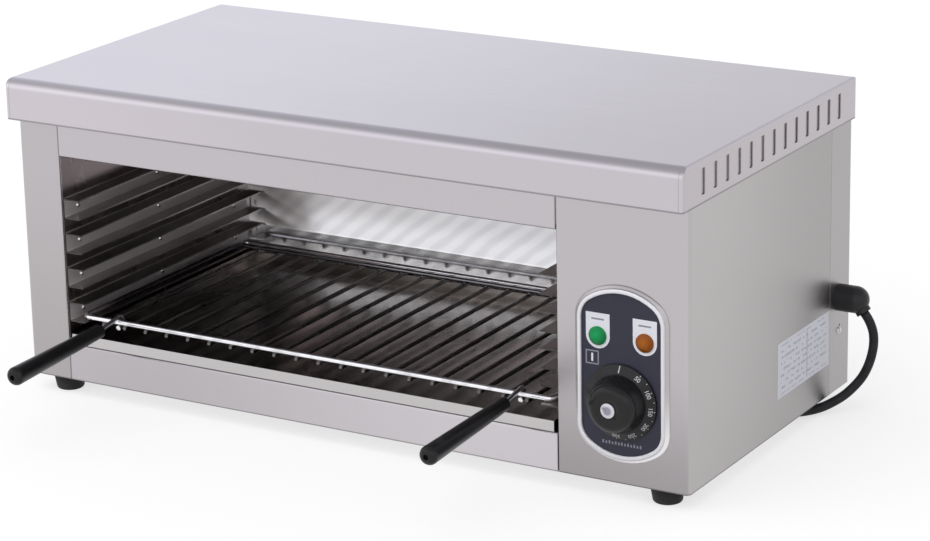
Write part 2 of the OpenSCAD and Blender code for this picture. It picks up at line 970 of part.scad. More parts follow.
// Folded clips that hold the bulb to the wall, each with its screw
module bulb_clips() {
    color("silver")
        for (y = clip_ys()) {
            difference() {
                union() {
                    slab(cav_r - sheet, cav_r, y - 5, y + 5, bulb_z - 4, bulb_z + 15);
                    slab(bulb_x - 4.5, cav_r, y - 5, y + 5, bulb_z - 5, bulb_z - 4);
                    slab(bulb_x - 5.5, bulb_x - 4.5, y - 5, y + 5, bulb_z - 5, bulb_z + 5);
                    slab(bulb_x - 5.5, cav_r - sheet + eps, y - 5, y + 5, bulb_z + 4, bulb_z + 5);
                }
                rod_x(cav_r - 20, y, bulb_z + clip_screw_up, screw_d + slip, 30);
            }
            difference() {
                slab(bulb_x - 4.5, cav_r - sheet, y - 4, y + 4, bulb_z - 4, bulb_z + 4);
                rod_y(bulb_x, y - 10, bulb_z, bulb_d + 2 * slip, 20);
            }
            translate([cav_r - sheet, y, bulb_z + clip_screw_up])
                rotate([0, -90, 0]) {
                    dome(screw_head, 1.8);
                    translate([0, 0, -6])
                        cylinder(d = screw_d, h = 6 + eps);
                }
        }
}

// ---------------------------------------------------------------- wiring

function pole_x(i) = fascia_x + (i - 1) * 14;

module terminal_block() {
    color("white")
        difference() {
            slab(
                fascia_x - 24, fascia_x + 24, terminal_y - 10, terminal_y + 10,
                base_z + sheet, base_z + sheet + 17
            );
            for (i = [0 : 2]) {
                translate([pole_x(i), terminal_y - 5, base_z + sheet + 9])
                    cylinder(d = 5, h = 20);
                rod_y(pole_x(i), terminal_y - 11, base_z + sheet + 6, 3.4, 22);
            }
            for (s = [-1, 1])
                translate([fascia_x + s * 12, terminal_y, base_z])
                    cylinder(d = 3 + slip, h = 6);
        }
}

module earth_stud() {
    color("gold")
        translate([earth_x, earth_y, base_z + sheet]) {
            translate([0, 0, -sheet - 1.8])
                cylinder(d = 9, h = 1.8);
            translate([0, 0, -sheet - eps])
                cylinder(d = 5, h = 18);
            for (z = [0, 5])
                translate([0, 0, z])
                    cylinder(d = 9.2, h = 3.6, $fn = 6);
        }
}

// Conductors from the gland to the block and on to thermostat, lamps, elements and earth
module internal_wires() {
    d = 2.6;
    touch = 0.3;
    deck = base_z + sheet + 6;
    side = side_x - 12;
    gland_x = side_x - 16;
    front_leg = element_y[0] - element_pitch / 2;
    rear_leg = element_y[1] + element_pitch / 2;
    stud_x = cav_r + cold_end + 14;
    color("firebrick") {
        for (i = [0 : 1])
            wire_path([
                [gland_x, gland_y - 2 + 4 * i, gland_z],
                [gland_x - 10 - 8 * i, gland_y - 2 + 4 * i, gland_z],
                [gland_x - 10 - 8 * i, gland_y - 2 + 4 * i, deck],
                [pole_x(2 - i), gland_y - 2 + 4 * i, deck],
                [pole_x(2 - i), terminal_y + 6, deck]
            ], d);
        wire_path([
            [pole_x(2), terminal_y - 6, deck],
            [pole_x(2), terminal_y - 24, deck],
            [pole_x(2), terminal_y - 24, knob_z - 8],
            [pole_x(2) - 4, thermo_y + thermo_l + touch, knob_z - 8]
        ], d);
        wire_path([
            [pole_x(1), terminal_y - 6, deck],
            [pole_x(1), terminal_y - 34, deck],
            [side - 4, terminal_y - 34, deck],
            [side - 4, terminal_y - 34, element_z],
            [side - 4, front_leg, element_z],
            [stud_x + touch, front_leg, element_z]
        ], d);
        wire_path([
            [fascia_x + 6, thermo_y + thermo_l + touch, knob_z + 14],
            [fascia_x + 6, thermo_y + thermo_l + 40, knob_z + 14],
            [fascia_x + 6, thermo_y + thermo_l + 40, element_z - 12],
            [fascia_x + 6, rear_leg, element_z - 12],
            [fascia_x + 6, rear_leg, element_z],
            [stud_x + touch, rear_leg, element_z]
        ], d);
        wire_path([
            [stud_x + touch, element_y[0] + element_pitch / 2, element_z],
            [stud_x + 14, element_y[0] + element_pitch / 2, element_z],
            [stud_x + 14, element_y[1] - element_pitch / 2, element_z],
            [stud_x + touch, element_y[1] - element_pitch / 2, element_z]
        ], d);
        wire_path([
            [fascia_x - lamp_pitch / 2 + 3, face_y + sheet + 28 + touch, lamp_z],
            [fascia_x - lamp_pitch / 2 + 3, face_y + sheet + 36, lamp_z],
            [fascia_x + lamp_pitch / 2 - 3, face_y + sheet + 36, lamp_z],
            [fascia_x + lamp_pitch / 2 - 3, face_y + sheet + 28 + touch, lamp_z]
        ], d);
    }
}

// ---------------------------------------------------------------- label and screws

module rating_label() {
    color("white")
        slab(
            side_x, side_x + label_t, joint_y - 1 - label_w, joint_y - 1,
            base_z + label_up, base_z + label_up + label_h
        );
}

// Screw with its head's underside on the XY plane and its shank below
module screw(len, d = screw_d, head = screw_head) {
    dome(head, 2);
    translate([0, 0, -len])
        cylinder(d = d, h = len + eps);
}

// Screws of the rear panel, cover, base, element brackets, terminal block and thermostat
module screws() {
    color("silver") {
        for (s = [-1, 1])
            translate([s * side_x, gland_y, side_screw_z])
                rotate([0, s * 90, 0])
                    screw(7);
        for (x = lid_screws())
            translate([x, tail_y, skirt_z + lid_screw_up])
                rotate([-90, 0, 0])
                    screw(9);
        for (x = base_screws())
            translate([x, back_y, base_z + base_screw_up])
                rotate([-90, 0, 0])
                    screw(7);
        for (y = element_y, s = [-1, 1])
            translate([bracket_x + 6, y + s * 10, ceiling_z + sheet])
                screw(5);
        for (s = [-1, 1]) {
            translate([fascia_x + s * 12, terminal_y, base_z])
                rotate([180, 0, 0])
                    screw(5);
            translate([fascia_x + s * thermo_screw, plate_y, knob_z])
                rotate([90, 0, 0])
                    screw(plate_t + sheet + 8, 4, 7);
        }
    }
}

// ---------------------------------------------------------------- feet

// Tapered rubber foot with a recess for its screw
module foot(i) {
    p = foot_places()[i];
    r = foot_d / 2;
    edge = 2.5;
    color([0.08, 0.08, 0.09])
        translate([p[0], p[1], 0])
            difference() {
                rotate_extrude()
                    union() {
                        polygon([
                            [0, 0], [r - 2 - edge, 0], [r - 2 - edge, edge], [r - 2, edge],
                            [r, foot_h], [0, foot_h]
                        ]);
                        translate([r - 2 - edge, edge])
                            circle(edge);
                    }
                translate([0, 0, -1])
                    cylinder(d = 9, h = 6);
                cylinder(d = 4 + 2 * slip, h = foot_h + 1);
            }
}

module foot_screws() {
    color("silver")
        for (p = foot_places())
            translate([p[0], p[1], 0]) {
                translate([0, 0, 5 - 2.6])
                    cylinder(d = 7, h = 2.6);
                translate([0, 0, 5 - eps])
                    cylinder(d = 4, h = foot_h + 1);
                translate([0, 0, foot_h + sheet])
                    cylinder(d = 8, h = 3.2, $fn = 6);
            }
}

// ---------------------------------------------------------------- cord

// Gland: a round body on the side panel, a ball elbow and a nozzle that points down and out
module cord_gland() {
    elbow = [side_x + gland_len, gland_y, gland_z];
    color([0.15, 0.15, 0.16])
        difference() {
            union() {
                rod_x(side_x, gland_y, gland_z, gland_d, gland_len);
                translate(elbow)
                    sphere(d = gland_d);
                rod_x(side_x - 14, gland_y, gland_z, thread_d, 14 + eps);
                translate(elbow)
                    rotate([0, 90 + nozzle_tilt, 0])
                        cylinder(d = nozzle_d, h = nozzle_len);
            }
            rod_x(side_x - 20, gland_y, gland_z, cord_d, 20 + gland_len);
        }
}

module gland_locknut() {
    nut_x = side_x - 2 * sheet - slip - 5;
    color([0.15, 0.15, 0.16])
        difference() {
            rod_x(nut_x, gland_y, gland_z, gland_d, 5);
            rod_x(nut_x - 1, gland_y, gland_z, thread_d + 2 * slip, 7);
        }
}

// Route of the cord from the gland's nozzle down to the counter, under the cabinet and out behind
cord_route = [
    [325.5, 186, 81], [328.5, 186, 77], [331.5, 186, 71.5], [333.5, 186, 65], [334, 186, 58],
    [333.5, 185.5, 51], [332, 184.5, 43], [329.5, 183, 35], [326, 180.5, 27.5], [321, 177, 20.5],
    [315, 172, 14], [308, 165.5, 9], [300.5, 158, 5.5], [292, 149.5, 4], [283, 141.5, 4], [272.5, 135.5, 4],
    [261, 132, 4], [249, 131.5, 4], [237, 134, 4], [225.5, 138.5, 4], [214, 144.5, 4], [202.5, 151.5, 4],
    [191, 158.5, 4], [179.5, 165, 4], [167.5, 171.5, 4], [156, 178.5, 4], [145, 186.5, 4], [135, 196, 4],
    [126.5, 207, 4], [119.5, 219, 4], [114, 232, 4], [110, 244, 4], [108, 253, 4], [108, 260.5, 4]
];

// Coil in two layers: in along the lower one and out again along the upper one
coil_x = 60;
coil_y = 268;
coil_low = 4;
coil_r = 48;
coil_turns = 4.25;
coil_step = 8.2;
coil_lift = 8;
loop_rings = 24;
function ramp(t) = t <= 0 ? 0 : t >= 1 ? 1 : t * t * (3 - 2 * t);
function coil_point(turn) =
    let (
        from_middle = turn - coil_turns / 2,
        r = coil_r - coil_step * (coil_turns / 2 - abs(from_middle)),
        z = coil_low + coil_lift * ramp(2 * from_middle + 0.5)
    )
    [coil_x + r * cos(360 * turn), coil_y + r * sin(360 * turn), z];
coil_path = concat(
    [[coil_x + coil_r, coil_y - cord_d, coil_low]],
    [for (i = [0 : coil_turns * loop_rings]) coil_point(i / loop_rings)],
    [[coil_x - cord_d, coil_y + coil_r, coil_low + coil_lift]]
);
coil_gap = min([
    for (i = [0 : len(coil_path) - 9], j = [i + 8 : len(coil_path) - 1])
        norm(coil_path[i] - coil_path[j])
]) - cord_d;
function path_length(p, i = 0) = i >= len(p) - 1 ? 0 : norm(p[i + 1] - p[i]) + path_length(p, i + 1);
echo(coil_gap = coil_gap);
echo(cord_length = path_length(cord_route) + path_length(coil_path));

// Plug
plug_x = coil_x - cord_d;
plug_y = coil_y + coil_r;
plug_z = coil_low + coil_lift;
relief_len = 22;
shoulder_len = 9;
plug_grip = 18;
plug_face = 8;
blade_pitch = 12.7;
earth_pitch = 11.9;

// One ring of a tube, square to the route at point i
function unit(v) = v / norm(v);
function heading(p, i) = unit(p[min(i + 1, len(p) - 1)] - p[max(i - 1, 0)]);
function tube_ring(p, i, r, sides, up) =
    let (u = unit(cross(heading(p, i), up)), v = cross(heading(p, i), u))
    [for (k = [0 : sides - 1]) p[i] + r * (cos(360 * k / sides) * u + sin(360 * k / sides) * v)];

// Tube through every point of a route, as one closed polyhedron; up is never along the route
module tube(p, r, sides, up) {
    n = len(p);
    last = (n - 1) * sides;
    rings = [for (i = [0 : n - 1]) each tube_ring(p, i, r, sides, up)];
    skin = [
        for (i = [0 : n - 2], k = [0 : sides - 1], half_quad = [0, 1])
            let (a = i * sides + k, b = i * sides + (k + 1) % sides)
            half_quad == 0 ? [a, a + sides, b] : [b, a + sides, b + sides]
    ];
    front = [for (k = [1 : sides - 2]) [0, k, k + 1]];
    rear = [for (k = [1 : sides - 2]) [last, last + k + 1, last + k]];
    polyhedron(points = rings, faces = concat(skin, front, rear), convexity = 8);
}

module power_cord() {
    color([0.12, 0.12, 0.13])
        tube(cord_route, cord_d / 2, 10, [1, -1, 1]);
}

module cord_coil() {
    color([0.12, 0.12, 0.13])
        tube(coil_path, cord_d / 2, 6, [0, 0, 1]);
}

// Moulded plug on its side, with a tapered strain relief
module plug_body() {
    r = plug_z;
    s1 = relief_len + shoulder_len;
    s2 = s1 + plug_grip;
    color([0.12, 0.12, 0.13])
        translate([plug_x, plug_y, plug_z])
            rotate([0, -90, 0]) {
                rotate_extrude()
                    polygon([
                        [0, 0], [cord_d / 2 + 0.7, 0], [7, relief_len], [8, relief_len],
                        [r, s1], [r, s2], [0, s2]
                    ]);
                translate([0, 0, s2 - eps])
                    linear_extrude(plug_face)
                        round_rect(-r, r, -15, 15, 5);
            }
}

module plug_pins() {
    tip = plug_x - relief_len - shoulder_len - plug_grip - plug_face;
    color("gold") {
        for (s = [-1, 1])
            translate([tip - 16, plug_y + s * blade_pitch / 2 - 0.75, plug_z + 1])
                cube([16 + eps, 1.5, 6.4]);
        rod_x(tip - 19, plug_y, plug_z + 4.2 - earth_pitch, 4.8, 19 + eps);
    }
}

// ---------------------------------------------------------------- rack

// Wires of the rack's frame run straight between bent corners, with a second wire at the rear
module rack_frame() {
    wide = rack_r - rack_l;
    deep = rack_back - wire_y;
    color("lightgray")
        translate([rack_l, wire_y, wire_z]) {
            for (y = [0, deep])
                rod_x(rack_bend, y, 0, frame_wire, wide - 2 * rack_bend);
            for (x = [0, wide])
                rod_y(x, rack_bend, 0, frame_wire, deep - 2 * rack_bend);
            for (c = [[0, 0, 180], [1, 0, 270], [1, 1, 0], [0, 1, 90]])
                translate([
                    c[0] == 0 ? rack_bend : wide - rack_bend,
                    c[1] == 0 ? rack_bend : deep - rack_bend, 0
                ])
                    rotate(c[2])
                        rotate_extrude(angle = 90)
                            translate([rack_bend, 0])
                                circle(d = frame_wire);
            rod_x(1, deep - rear_wire_in, 0, rod_wire, wide - 2);
        }
}

// Rods welded under the frame
module rack_rods() {
    color("lightgray")
        for (i = [1 : rod_count - 1])
            rod_y(
                rack_l + i * rod_pitch, wire_y - rod_overhang, rod_z,
                rod_wire, rack_back - wire_y + rod_overhang + 1
            );
}

// Rod that hooks under, behind and over the front wire and runs down to the grip and into it
module handle_rod(x) {
    lap = 0.5;
    translate([x, wire_y, wire_z])
        rotate([neck_rise, 0, 0]) {
            rod_y(0, -hook_tail, -hook_r, handle_wire, hook_tail);
            rotate([90, 0, 90])
                rotate(-90)
                    rotate_extrude(angle = 180)
                        translate([hook_r, 0])
                            circle(d = handle_wire);
            rod_y(0, -neck_len - lap, hook_r, handle_wire, neck_len + lap);
            translate([0, -neck_len, hook_r])
                rotate([droop - neck_rise, 0, 0])
                    rod_y(0, -grip_len / 2, 0, handle_wire, grip_len / 2 + lap);
        }
}

module handle_rods() {
    color("lightgray")
        for (x = [left_handle_x, right_handle_x])
            handle_rod(x);
}

// Tapered grip with a round end and a dimple in the tip
module grip(x) {
    r0 = grip_root_d / 2;
    r1 = grip_d / 2;
    tip = 5;
    color([0.09, 0.09, 0.1])
        translate([x, wire_y + grip_y, wire_z + grip_z])
            rotate([90 + droop, 0, 0])
                difference() {
                    rotate_extrude()
                        union() {
                            polygon([
                                [0, 1], [r0 - 1.2, 1], [r0, 2.2], [r0 + 0.4, 20],
                                [r1, grip_len - tip], [r1 - tip, grip_len - tip], [r1 - tip, grip_len],
                                [0, grip_len]
                            ]);
                            translate([r1 - tip, grip_len - tip])
                                intersection() {
                                    circle(tip);
                                    square(tip + 1);
                                }
                        }
                    cylinder(d = handle_wire + slip, h = grip_len / 2 + 0.5);
                    translate([0, 0, grip_len - 3])
                        cylinder(d = 4.4, h = 4);
                }
}

module left_grip() {
    grip(left_handle_x);
}

module right_grip() {
    grip(right_handle_x);
}

// ---------------------------------------------------------------- tray

module drip_tray() {
    x0 = cav_l + tray_gap;
    x1 = cav_r - tray_gap;
    y0 = face_y + slip;
    y1 = cav_back - 4;
    color("silver")
        difference() {
            slab(x0, x1, y0, y1, tray_z, tray_z + tray_h);
            slab(x0 + tray_t, x1 - tray_t, y0 + tray_t, y1 - tray_t, tray_z + tray_t, tray_z + tray_h + 1);
        }
}

top_cover();
left_side_panel();
control_housing();
upper_front_rail();
lower_front_panel();
rear_panel();
base_plate();
cavity_left_wall();
cavity_right_wall();
cavity_rear_wall();
cavity_ceiling();
cavity_floor();
runner(-1, 1);  // left_runner_1
runner(-1, 2);  // left_runner_2
runner(-1, 3);  // left_runner_3
runner(-1, 4);  // left_runner_4
runner(1, 1);  // right_runner_1
runner(1, 2);  // right_runner_2
runner(1, 3);  // right_runner_3
runner(1, 4);  // right_runner_4
runner_rivets();
heating_element(element_y[0]);  // front_heating_element
heating_element(element_y[1]);  // rear_heating_element
element_insulators();
element_terminals();
element_brackets();
thermostat_body();
sensing_bulb();
bulb_clips();
terminal_block();
earth_stud();
internal_wires();
green_lamp_lens();
amber_lamp_lens();
lamp_bodies();
fascia_bezel();
fascia_plate();
rating_label();
cord_gland();
gland_locknut();
power_cord();
cord_coil();
plug_body();
plug_pins();
screws();
foot(0);  // front_left_foot
foot(1);  // front_right_foot
foot(2);  // rear_left_foot
foot(3);  // rear_right_foot
foot_screws();
rack_frame();
rack_rods();
handle_rods();
left_grip();
right_grip();
drip_tray();
control_knob();
dial_skirt();
knob_cap();
thermostat_shaft();
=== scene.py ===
# Countertop cheese melter: a brushed steel cabinet with an open heated cavity, a wire rack with
# two black grips, a drip tray, and a control front with two pilot lamps and a thermostat knob.
# Metres throughout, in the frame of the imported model.
import math

import bmesh
import bpy
from mathutils import Matrix, Vector


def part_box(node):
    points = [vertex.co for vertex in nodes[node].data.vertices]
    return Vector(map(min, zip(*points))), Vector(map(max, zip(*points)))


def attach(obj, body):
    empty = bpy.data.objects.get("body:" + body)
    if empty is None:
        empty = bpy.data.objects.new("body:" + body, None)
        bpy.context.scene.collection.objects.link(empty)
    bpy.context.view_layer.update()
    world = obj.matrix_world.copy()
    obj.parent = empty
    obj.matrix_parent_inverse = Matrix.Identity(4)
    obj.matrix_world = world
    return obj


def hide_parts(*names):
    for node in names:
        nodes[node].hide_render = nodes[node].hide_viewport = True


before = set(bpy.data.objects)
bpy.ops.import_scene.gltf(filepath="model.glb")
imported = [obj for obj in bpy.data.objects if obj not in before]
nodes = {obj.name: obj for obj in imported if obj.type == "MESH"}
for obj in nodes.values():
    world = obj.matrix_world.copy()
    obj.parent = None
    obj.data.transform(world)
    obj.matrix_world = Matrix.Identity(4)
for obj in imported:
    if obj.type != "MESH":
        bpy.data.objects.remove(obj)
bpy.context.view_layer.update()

mm = 0.001


# Camera: in front of the melter's right-hand corner and a little above it, with a long lens.
# The aim, the lens and the small shift bring the casing's edges on to those of the photograph.
view_azimuth, view_elevation, view_roll = (math.radians(a) for a in (30.878, 16.514, -1.205))
focal_px, frame_px = 3177.93, (930, 541)
picture_middle = (460.783, 220.66)
sensor = 36
towards = Vector((
    math.sin(view_azimuth) * math.cos(view_elevation),
    -math.cos(view_azimuth) * math.cos(view_elevation),
    math.sin(view_elevation),
))
level = Vector((math.cos(view_azimuth), math.sin(view_azimuth), 0))
upright = towards.cross(level)
right = math.cos(view_roll) * level + math.sin(view_roll) * upright
up = math.cos(view_roll) * upright - math.sin(view_roll) * level
lens = bpy.data.cameras.new("camera")
lens.sensor_width = sensor
lens.lens = focal_px / frame_px[0] * sensor
lens.shift_x = (frame_px[0] / 2 - picture_middle[0]) / frame_px[0]
lens.shift_y = (picture_middle[1] - frame_px[1] / 2) / frame_px[0]
lens.clip_end = 100
camera = bpy.data.objects.new("camera", lens)
camera_place = Vector((1.28393, -2.03942, 0.87659))
camera_turn = Matrix((right, up, towards)).transposed().to_4x4()
camera.matrix_world = Matrix.Translation(camera_place) @ camera_turn
bpy.context.scene.collection.objects.link(camera)
bpy.context.scene.camera = camera


# Room: a white floor under a white sky, with a broad soft sun from the upper left of the front.
# The floor and the sky show white to the camera. In the metal the sky is brightest low in front,
# where a long softbox would stand, and dull overhead; the sun itself isn't mirrored.
class Value:
    """A number that varies over a surface. Arithmetic on it adds the Math nodes for it."""

    def __init__(self, finish, socket):
        self.finish, self.socket = finish, socket

    def math(self, operation, *terms):
        return self.finish.node("Math", {"operation": operation}, dict(enumerate(terms)))

    def __add__(self, other):
        return self.math("ADD", self, other)

    def __radd__(self, other):
        return self.math("ADD", other, self)

    def __sub__(self, other):
        return self.math("SUBTRACT", self, other)

    def __rsub__(self, other):
        return self.math("SUBTRACT", other, self)

    def __mul__(self, other):
        return self.math("MULTIPLY", self, other)

    def __rmul__(self, other):
        return self.math("MULTIPLY", other, self)

    def __truediv__(self, other):
        return self.math("DIVIDE", self, other)

    def __abs__(self):
        return self.math("ABSOLUTE", self)

    def ramp(self, start, end):
        """0 up to start, 1 from end on, and smooth between them."""
        return self.finish.node(
            "MapRange", {"interpolation_type": "SMOOTHSTEP"},
            {0: self, 1: start, 2: end, 3: 0.0, 4: 1.0},
        )

    def most(self, other):
        return self.math("MAXIMUM", self, other)

    def root(self):
        return self.math("SQRT", self)

    def sine(self):
        return self.math("SINE", self)

    def fraction(self):
        return self.math("FRACT", self)


class Finish:
    """One finish of the melter. node() adds any node: its settings first, then its sockets."""

    def __init__(self, name, owner=None):
        self.material = owner or bpy.data.materials.new(name)
        self.material.use_nodes = True
        self.tree = self.material.node_tree
        self.shader = self.tree.nodes.get("Principled BSDF")

    def node(self, kind, settings=None, sockets=None, out=0):
        node = self.tree.nodes.new("ShaderNode" + kind)
        for name, value in (settings or {}).items():
            setattr(node, name, value)
        for name, value in (sockets or {}).items():
            self.feed(node.inputs[name], value)
        return Value(self, node.outputs[out])

    def feed(self, socket, value):
        if isinstance(value, Value):
            self.tree.links.new(value.socket, socket)
        elif socket.type == "RGBA":
            socket.default_value = (*value, 1)
        else:
            socket.default_value = value

    def set(self, **sockets):
        """Sockets of the surface shader, by their names with underscores for spaces."""
        for name, value in sockets.items():
            self.feed(self.shader.inputs[name.replace("_", " ")], value)
        return self

    def mix(self, mask, low, high):
        """Colour that goes from low to high where mask goes from 0 to 1."""
        return self.node("Mix", {"data_type": "RGBA"}, {0: mask, 6: low, 7: high}, out=2)

    def times(self, one, other):
        """Product of two colours."""
        settings = {"data_type": "RGBA", "blend_type": "MULTIPLY"}
        return self.node("Mix", settings, {0: 1.0, 6: one, 7: other}, out=2)

    def place(self, axis=None):
        """Where the surface point is, in the frame's metres: the vector, or one axis of it."""
        spot = self.node("TexCoord", out=3)
        if axis is None:
            return spot
        return self.node("SeparateXYZ", None, {0: spot}, out="XYZ".index(axis))

    def noise(self, cells, detail=2.0):
        """Noise from 0 to 1 with so many cells a metre, one number or one for each axis."""
        stretch = cells if hasattr(cells, "__len__") else (cells,) * 3
        at = self.node("VectorMath", {"operation": "MULTIPLY"}, {0: self.place(), 1: stretch})
        return self.node("TexNoise", None, {"Vector": at, "Scale": 1.0, "Detail": detail})

    def bump(self, height, depth, edge=0.0):
        """Relief of that depth in metres from height 0 to 1, over edges rounded by edge metres."""
        sockets = {"Height": height, "Distance": depth, "Strength": 1.0}
        if edge:
            sockets["Normal"] = self.node("Bevel", {"samples": 4}, {"Radius": edge})
        self.set(Normal=self.node("Bump", None, sockets))
        return self


def coat(finish, *names):
    """Gives CAD nodes that finish."""
    for name in names:
        slots = nodes[name].data.materials
        slots.clear()
        slots.append(finish.material)


floor_finish = Finish("studio_floor")
rays = floor_finish.node("LightPath", out=0)
mirrored = floor_finish.node("LightPath", out=3)
floor_finish.set(
    Base_Color=(0.36, 0.36, 0.36), Roughness=1.0, Specular_IOR_Level=0.0, Emission_Color=(1, 1, 1),
    Emission_Strength=0.66 * rays.most(mirrored),
)
floor_mesh = bpy.data.meshes.new("studio_floor")
floor_reach = 30
floor_mesh.from_pydata(
    [(-floor_reach, -floor_reach, 0), (floor_reach, -floor_reach, 0), (floor_reach, floor_reach, 0),
     (-floor_reach, floor_reach, 0)], [], [(0, 1, 2, 3)],
)
floor_mesh.materials.append(floor_finish.material)
floor = bpy.data.objects.new("studio_floor", floor_mesh)
bpy.context.scene.collection.objects.link(floor)

sky = bpy.data.worlds.new("studio_sky")
bpy.context.scene.world = sky
sky_finish = Finish("studio_sky", sky)
sky_light = sky_finish.tree.nodes["Background"]
camera_ray = sky_finish.node("LightPath", out=0)
glossy_ray = sky_finish.node("LightPath", out=3)
clear_ray = sky_finish.node("LightPath", out=6)
sky_way = sky_finish.node("TexCoord", out=0)
height = sky_finish.node("SeparateXYZ", None, {0: sky_way}, out=2)
in_front = sky_finish.node("SeparateXYZ", None, {0: sky_way}, out=1).ramp(0.05, -0.2)
softbox = height.ramp(0.12, 0.42) * height.ramp(0.86, 0.5) * in_front
overhead = height.ramp(0.3, 0.75) * (1 - softbox)
sky_finish.feed(
    sky_light.inputs["Color"],
    sky_finish.mix(overhead * glossy_ray, (0.97, 0.97, 1.0), (0.55, 0.55, 0.57)),
)
seen = camera_ray.most(glossy_ray).most(clear_ray)
sky_finish.feed(sky_light.inputs["Strength"], 0.65 + 0.35 * seen + 0.38 * softbox * glossy_ray)

sun = bpy.data.lights.new("soft_sun", "SUN")
sun.energy = 1.55
sun.angle = math.radians(85)
sun_object = bpy.data.objects.new("soft_sun", sun)
sun_object.rotation_euler = (math.radians(38), 0, math.radians(-28))
sun_object.visible_glossy = False
bpy.context.scene.collection.objects.link(sun_object)
bpy.context.scene.view_settings.view_transform = "Standard"


# Power cord: a round three-core lead with a soft black jacket, from the nozzle of the gland down
# beside the cabinet, under its rear corner and out behind it. The spare length lies in a flat coil.
cord_d = 7.5 * mm
cord_route = [Vector(p) * mm for p in (
    (325.5, 186, 81), (328.5, 186, 77), (331.5, 186, 71.5), (333.5, 186, 65), (334, 186, 58),
    (333.5, 185.5, 51), (332, 184.5, 43), (329.5, 183, 35), (326, 180.5, 27.5), (321, 177, 20.5),
    (315, 172, 14), (308, 165.5, 9), (300.5, 158, 5.5), (292, 149.5, 4), (283, 141.5, 4),
    (272.5, 135.5, 4), (261, 132, 4), (249, 131.5, 4), (237, 134, 4), (225.5, 138.5, 4),
    (214, 144.5, 4), (202.5, 151.5, 4), (191, 158.5, 4), (179.5, 165, 4), (167.5, 171.5, 4),
    (156, 178.5, 4), (145, 186.5, 4), (135, 196, 4), (126.5, 207, 4), (119.5, 219, 4),
    (114, 232, 4), (110, 244, 4), (108, 253, 4), (108, 260.5, 4),
)]
coil_middle = Vector((60, 268, 0)) * mm
coil_low, coil_lift, coil_r, coil_step = 4 * mm, 8 * mm, 48 * mm, 8.2 * mm
coil_turns, points_a_turn = 4.25, 24


def coil_point(turn):
    """Point of the coil after so many turns: in along its lower layer, out along the upper."""
    from_middle = turn - coil_turns / 2
    climb = min(max(2 * from_middle + 0.5, 0), 1)
    r = coil_r - coil_step * (coil_turns / 2 - abs(from_middle))
    angle = 2 * math.pi * turn
    lift = coil_low + coil_lift * climb * climb * (3 - 2 * climb)
    return coil_middle + Vector((r * math.cos(angle), r * math.sin(angle), lift))


coil_path = [coil_point(i / points_a_turn) for i in range(int(coil_turns * points_a_turn) + 1)]
coil_path.append(coil_middle + Vector((-cord_d, coil_r, coil_low + coil_lift)))
whole_route = cord_route + coil_path


def smooth_route(points, steps=3):
    """The route with steps points a stretch, on a smooth curve through all of its points."""
    ends = [2 * points[0] - points[1], *points, 2 * points[-1] - points[-2]]
    fine = []
    for a, b, c, d in zip(ends, ends[1:], ends[2:], ends[3:]):
        for i in range(steps):
            t = i / steps
            fine.append(
                0.5 * (2 * b + (c - a) * t + (2 * a - 5 * b + 4 * c - d) * t * t
                       + (3 * b - a - 3 * c + d) * t ** 3)
            )
    return fine + [points[-1]]


def piece_from(name, mesh, finish, body):
    """Puts a finished mesh on its body."""
    mesh.materials.append(finish.material)
    piece = bpy.data.objects.new(name, mesh)
    bpy.context.scene.collection.objects.link(piece)
    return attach(piece, body)


def tube_mesh(name, route, radius, sides):
    """A closed round tube along a route, with its rings square to the route."""
    shape = bmesh.new()
    side = Vector((1, -1, 0)).normalized()
    rings = []
    for i, spot in enumerate(route):
        heading = (route[min(i + 1, len(route) - 1)] - route[max(i - 1, 0)]).normalized()
        side = (side - side.dot(heading) * heading).normalized()
        other = heading.cross(side)
        rings.append([
            shape.verts.new(spot + radius * (math.cos(a) * side + math.sin(a) * other))
            for a in (2 * math.pi * k / sides for k in range(sides))
        ])
    for low, high in zip(rings, rings[1:]):
        for k in range(sides):
            after = (k + 1) % sides
            shape.faces.new((low[k], low[after], high[after], high[k])).smooth = True
    shape.faces.new(reversed(rings[0]))
    shape.faces.new(rings[-1])
    mesh = bpy.data.meshes.new(name)
    shape.to_mesh(mesh)
    shape.free()
    return mesh


jacket = Finish("cord_jacket").set(Specular_IOR_Level=0.25)
scuff = jacket.noise(90, 4)
jacket.set(
    Base_Color=jacket.mix(scuff.ramp(0.35, 0.75), (0.012, 0.012, 0.014), (0.03, 0.03, 0.034)),
    Roughness=0.42 + 0.2 * scuff,
)
jacket.bump(jacket.noise(2200, 2), 0.00003)
centre_line = smooth_route(whole_route)
jacket_r, jacket_sides = cord_d / 2 - 0.01 * mm, 16
lead_tube = tube_mesh("power_lead", centre_line, jacket_r, jacket_sides)
cord = piece_from("power_lead", lead_tube, jacket, "cabinet")
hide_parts("power_cord", "cord_coil")
cord_length = sum((b - a).length for a, b in zip(centre_line, centre_line[1:]))


# Gland, lock nut and plug: black nylon and moulded vinyl, a little shinier than the jacket.
# The gland's elbow grips the lead and turns it down; the plug is moulded on to its far end.
def grained(
    name, tones, tone_noise, roughness, rough_cells, relief_cells, relief, edge=0.0, **uniform
):
    """A finish whose tone, gloss and relief each follow a noise of their own.

    tones are its darkest and lightest colour, tone_noise the cells a metre and the detail of the
    noise between them, roughness the lowest value and the spread, and relief a depth in metres.
    """
    finish = Finish(name).set(**uniform)
    finish.set(
        Base_Color=finish.mix(finish.noise(*tone_noise), *tones),
        Roughness=roughness[0] + roughness[1] * finish.noise(rough_cells),
    )
    return finish.bump(finish.noise(relief_cells), relief, edge)


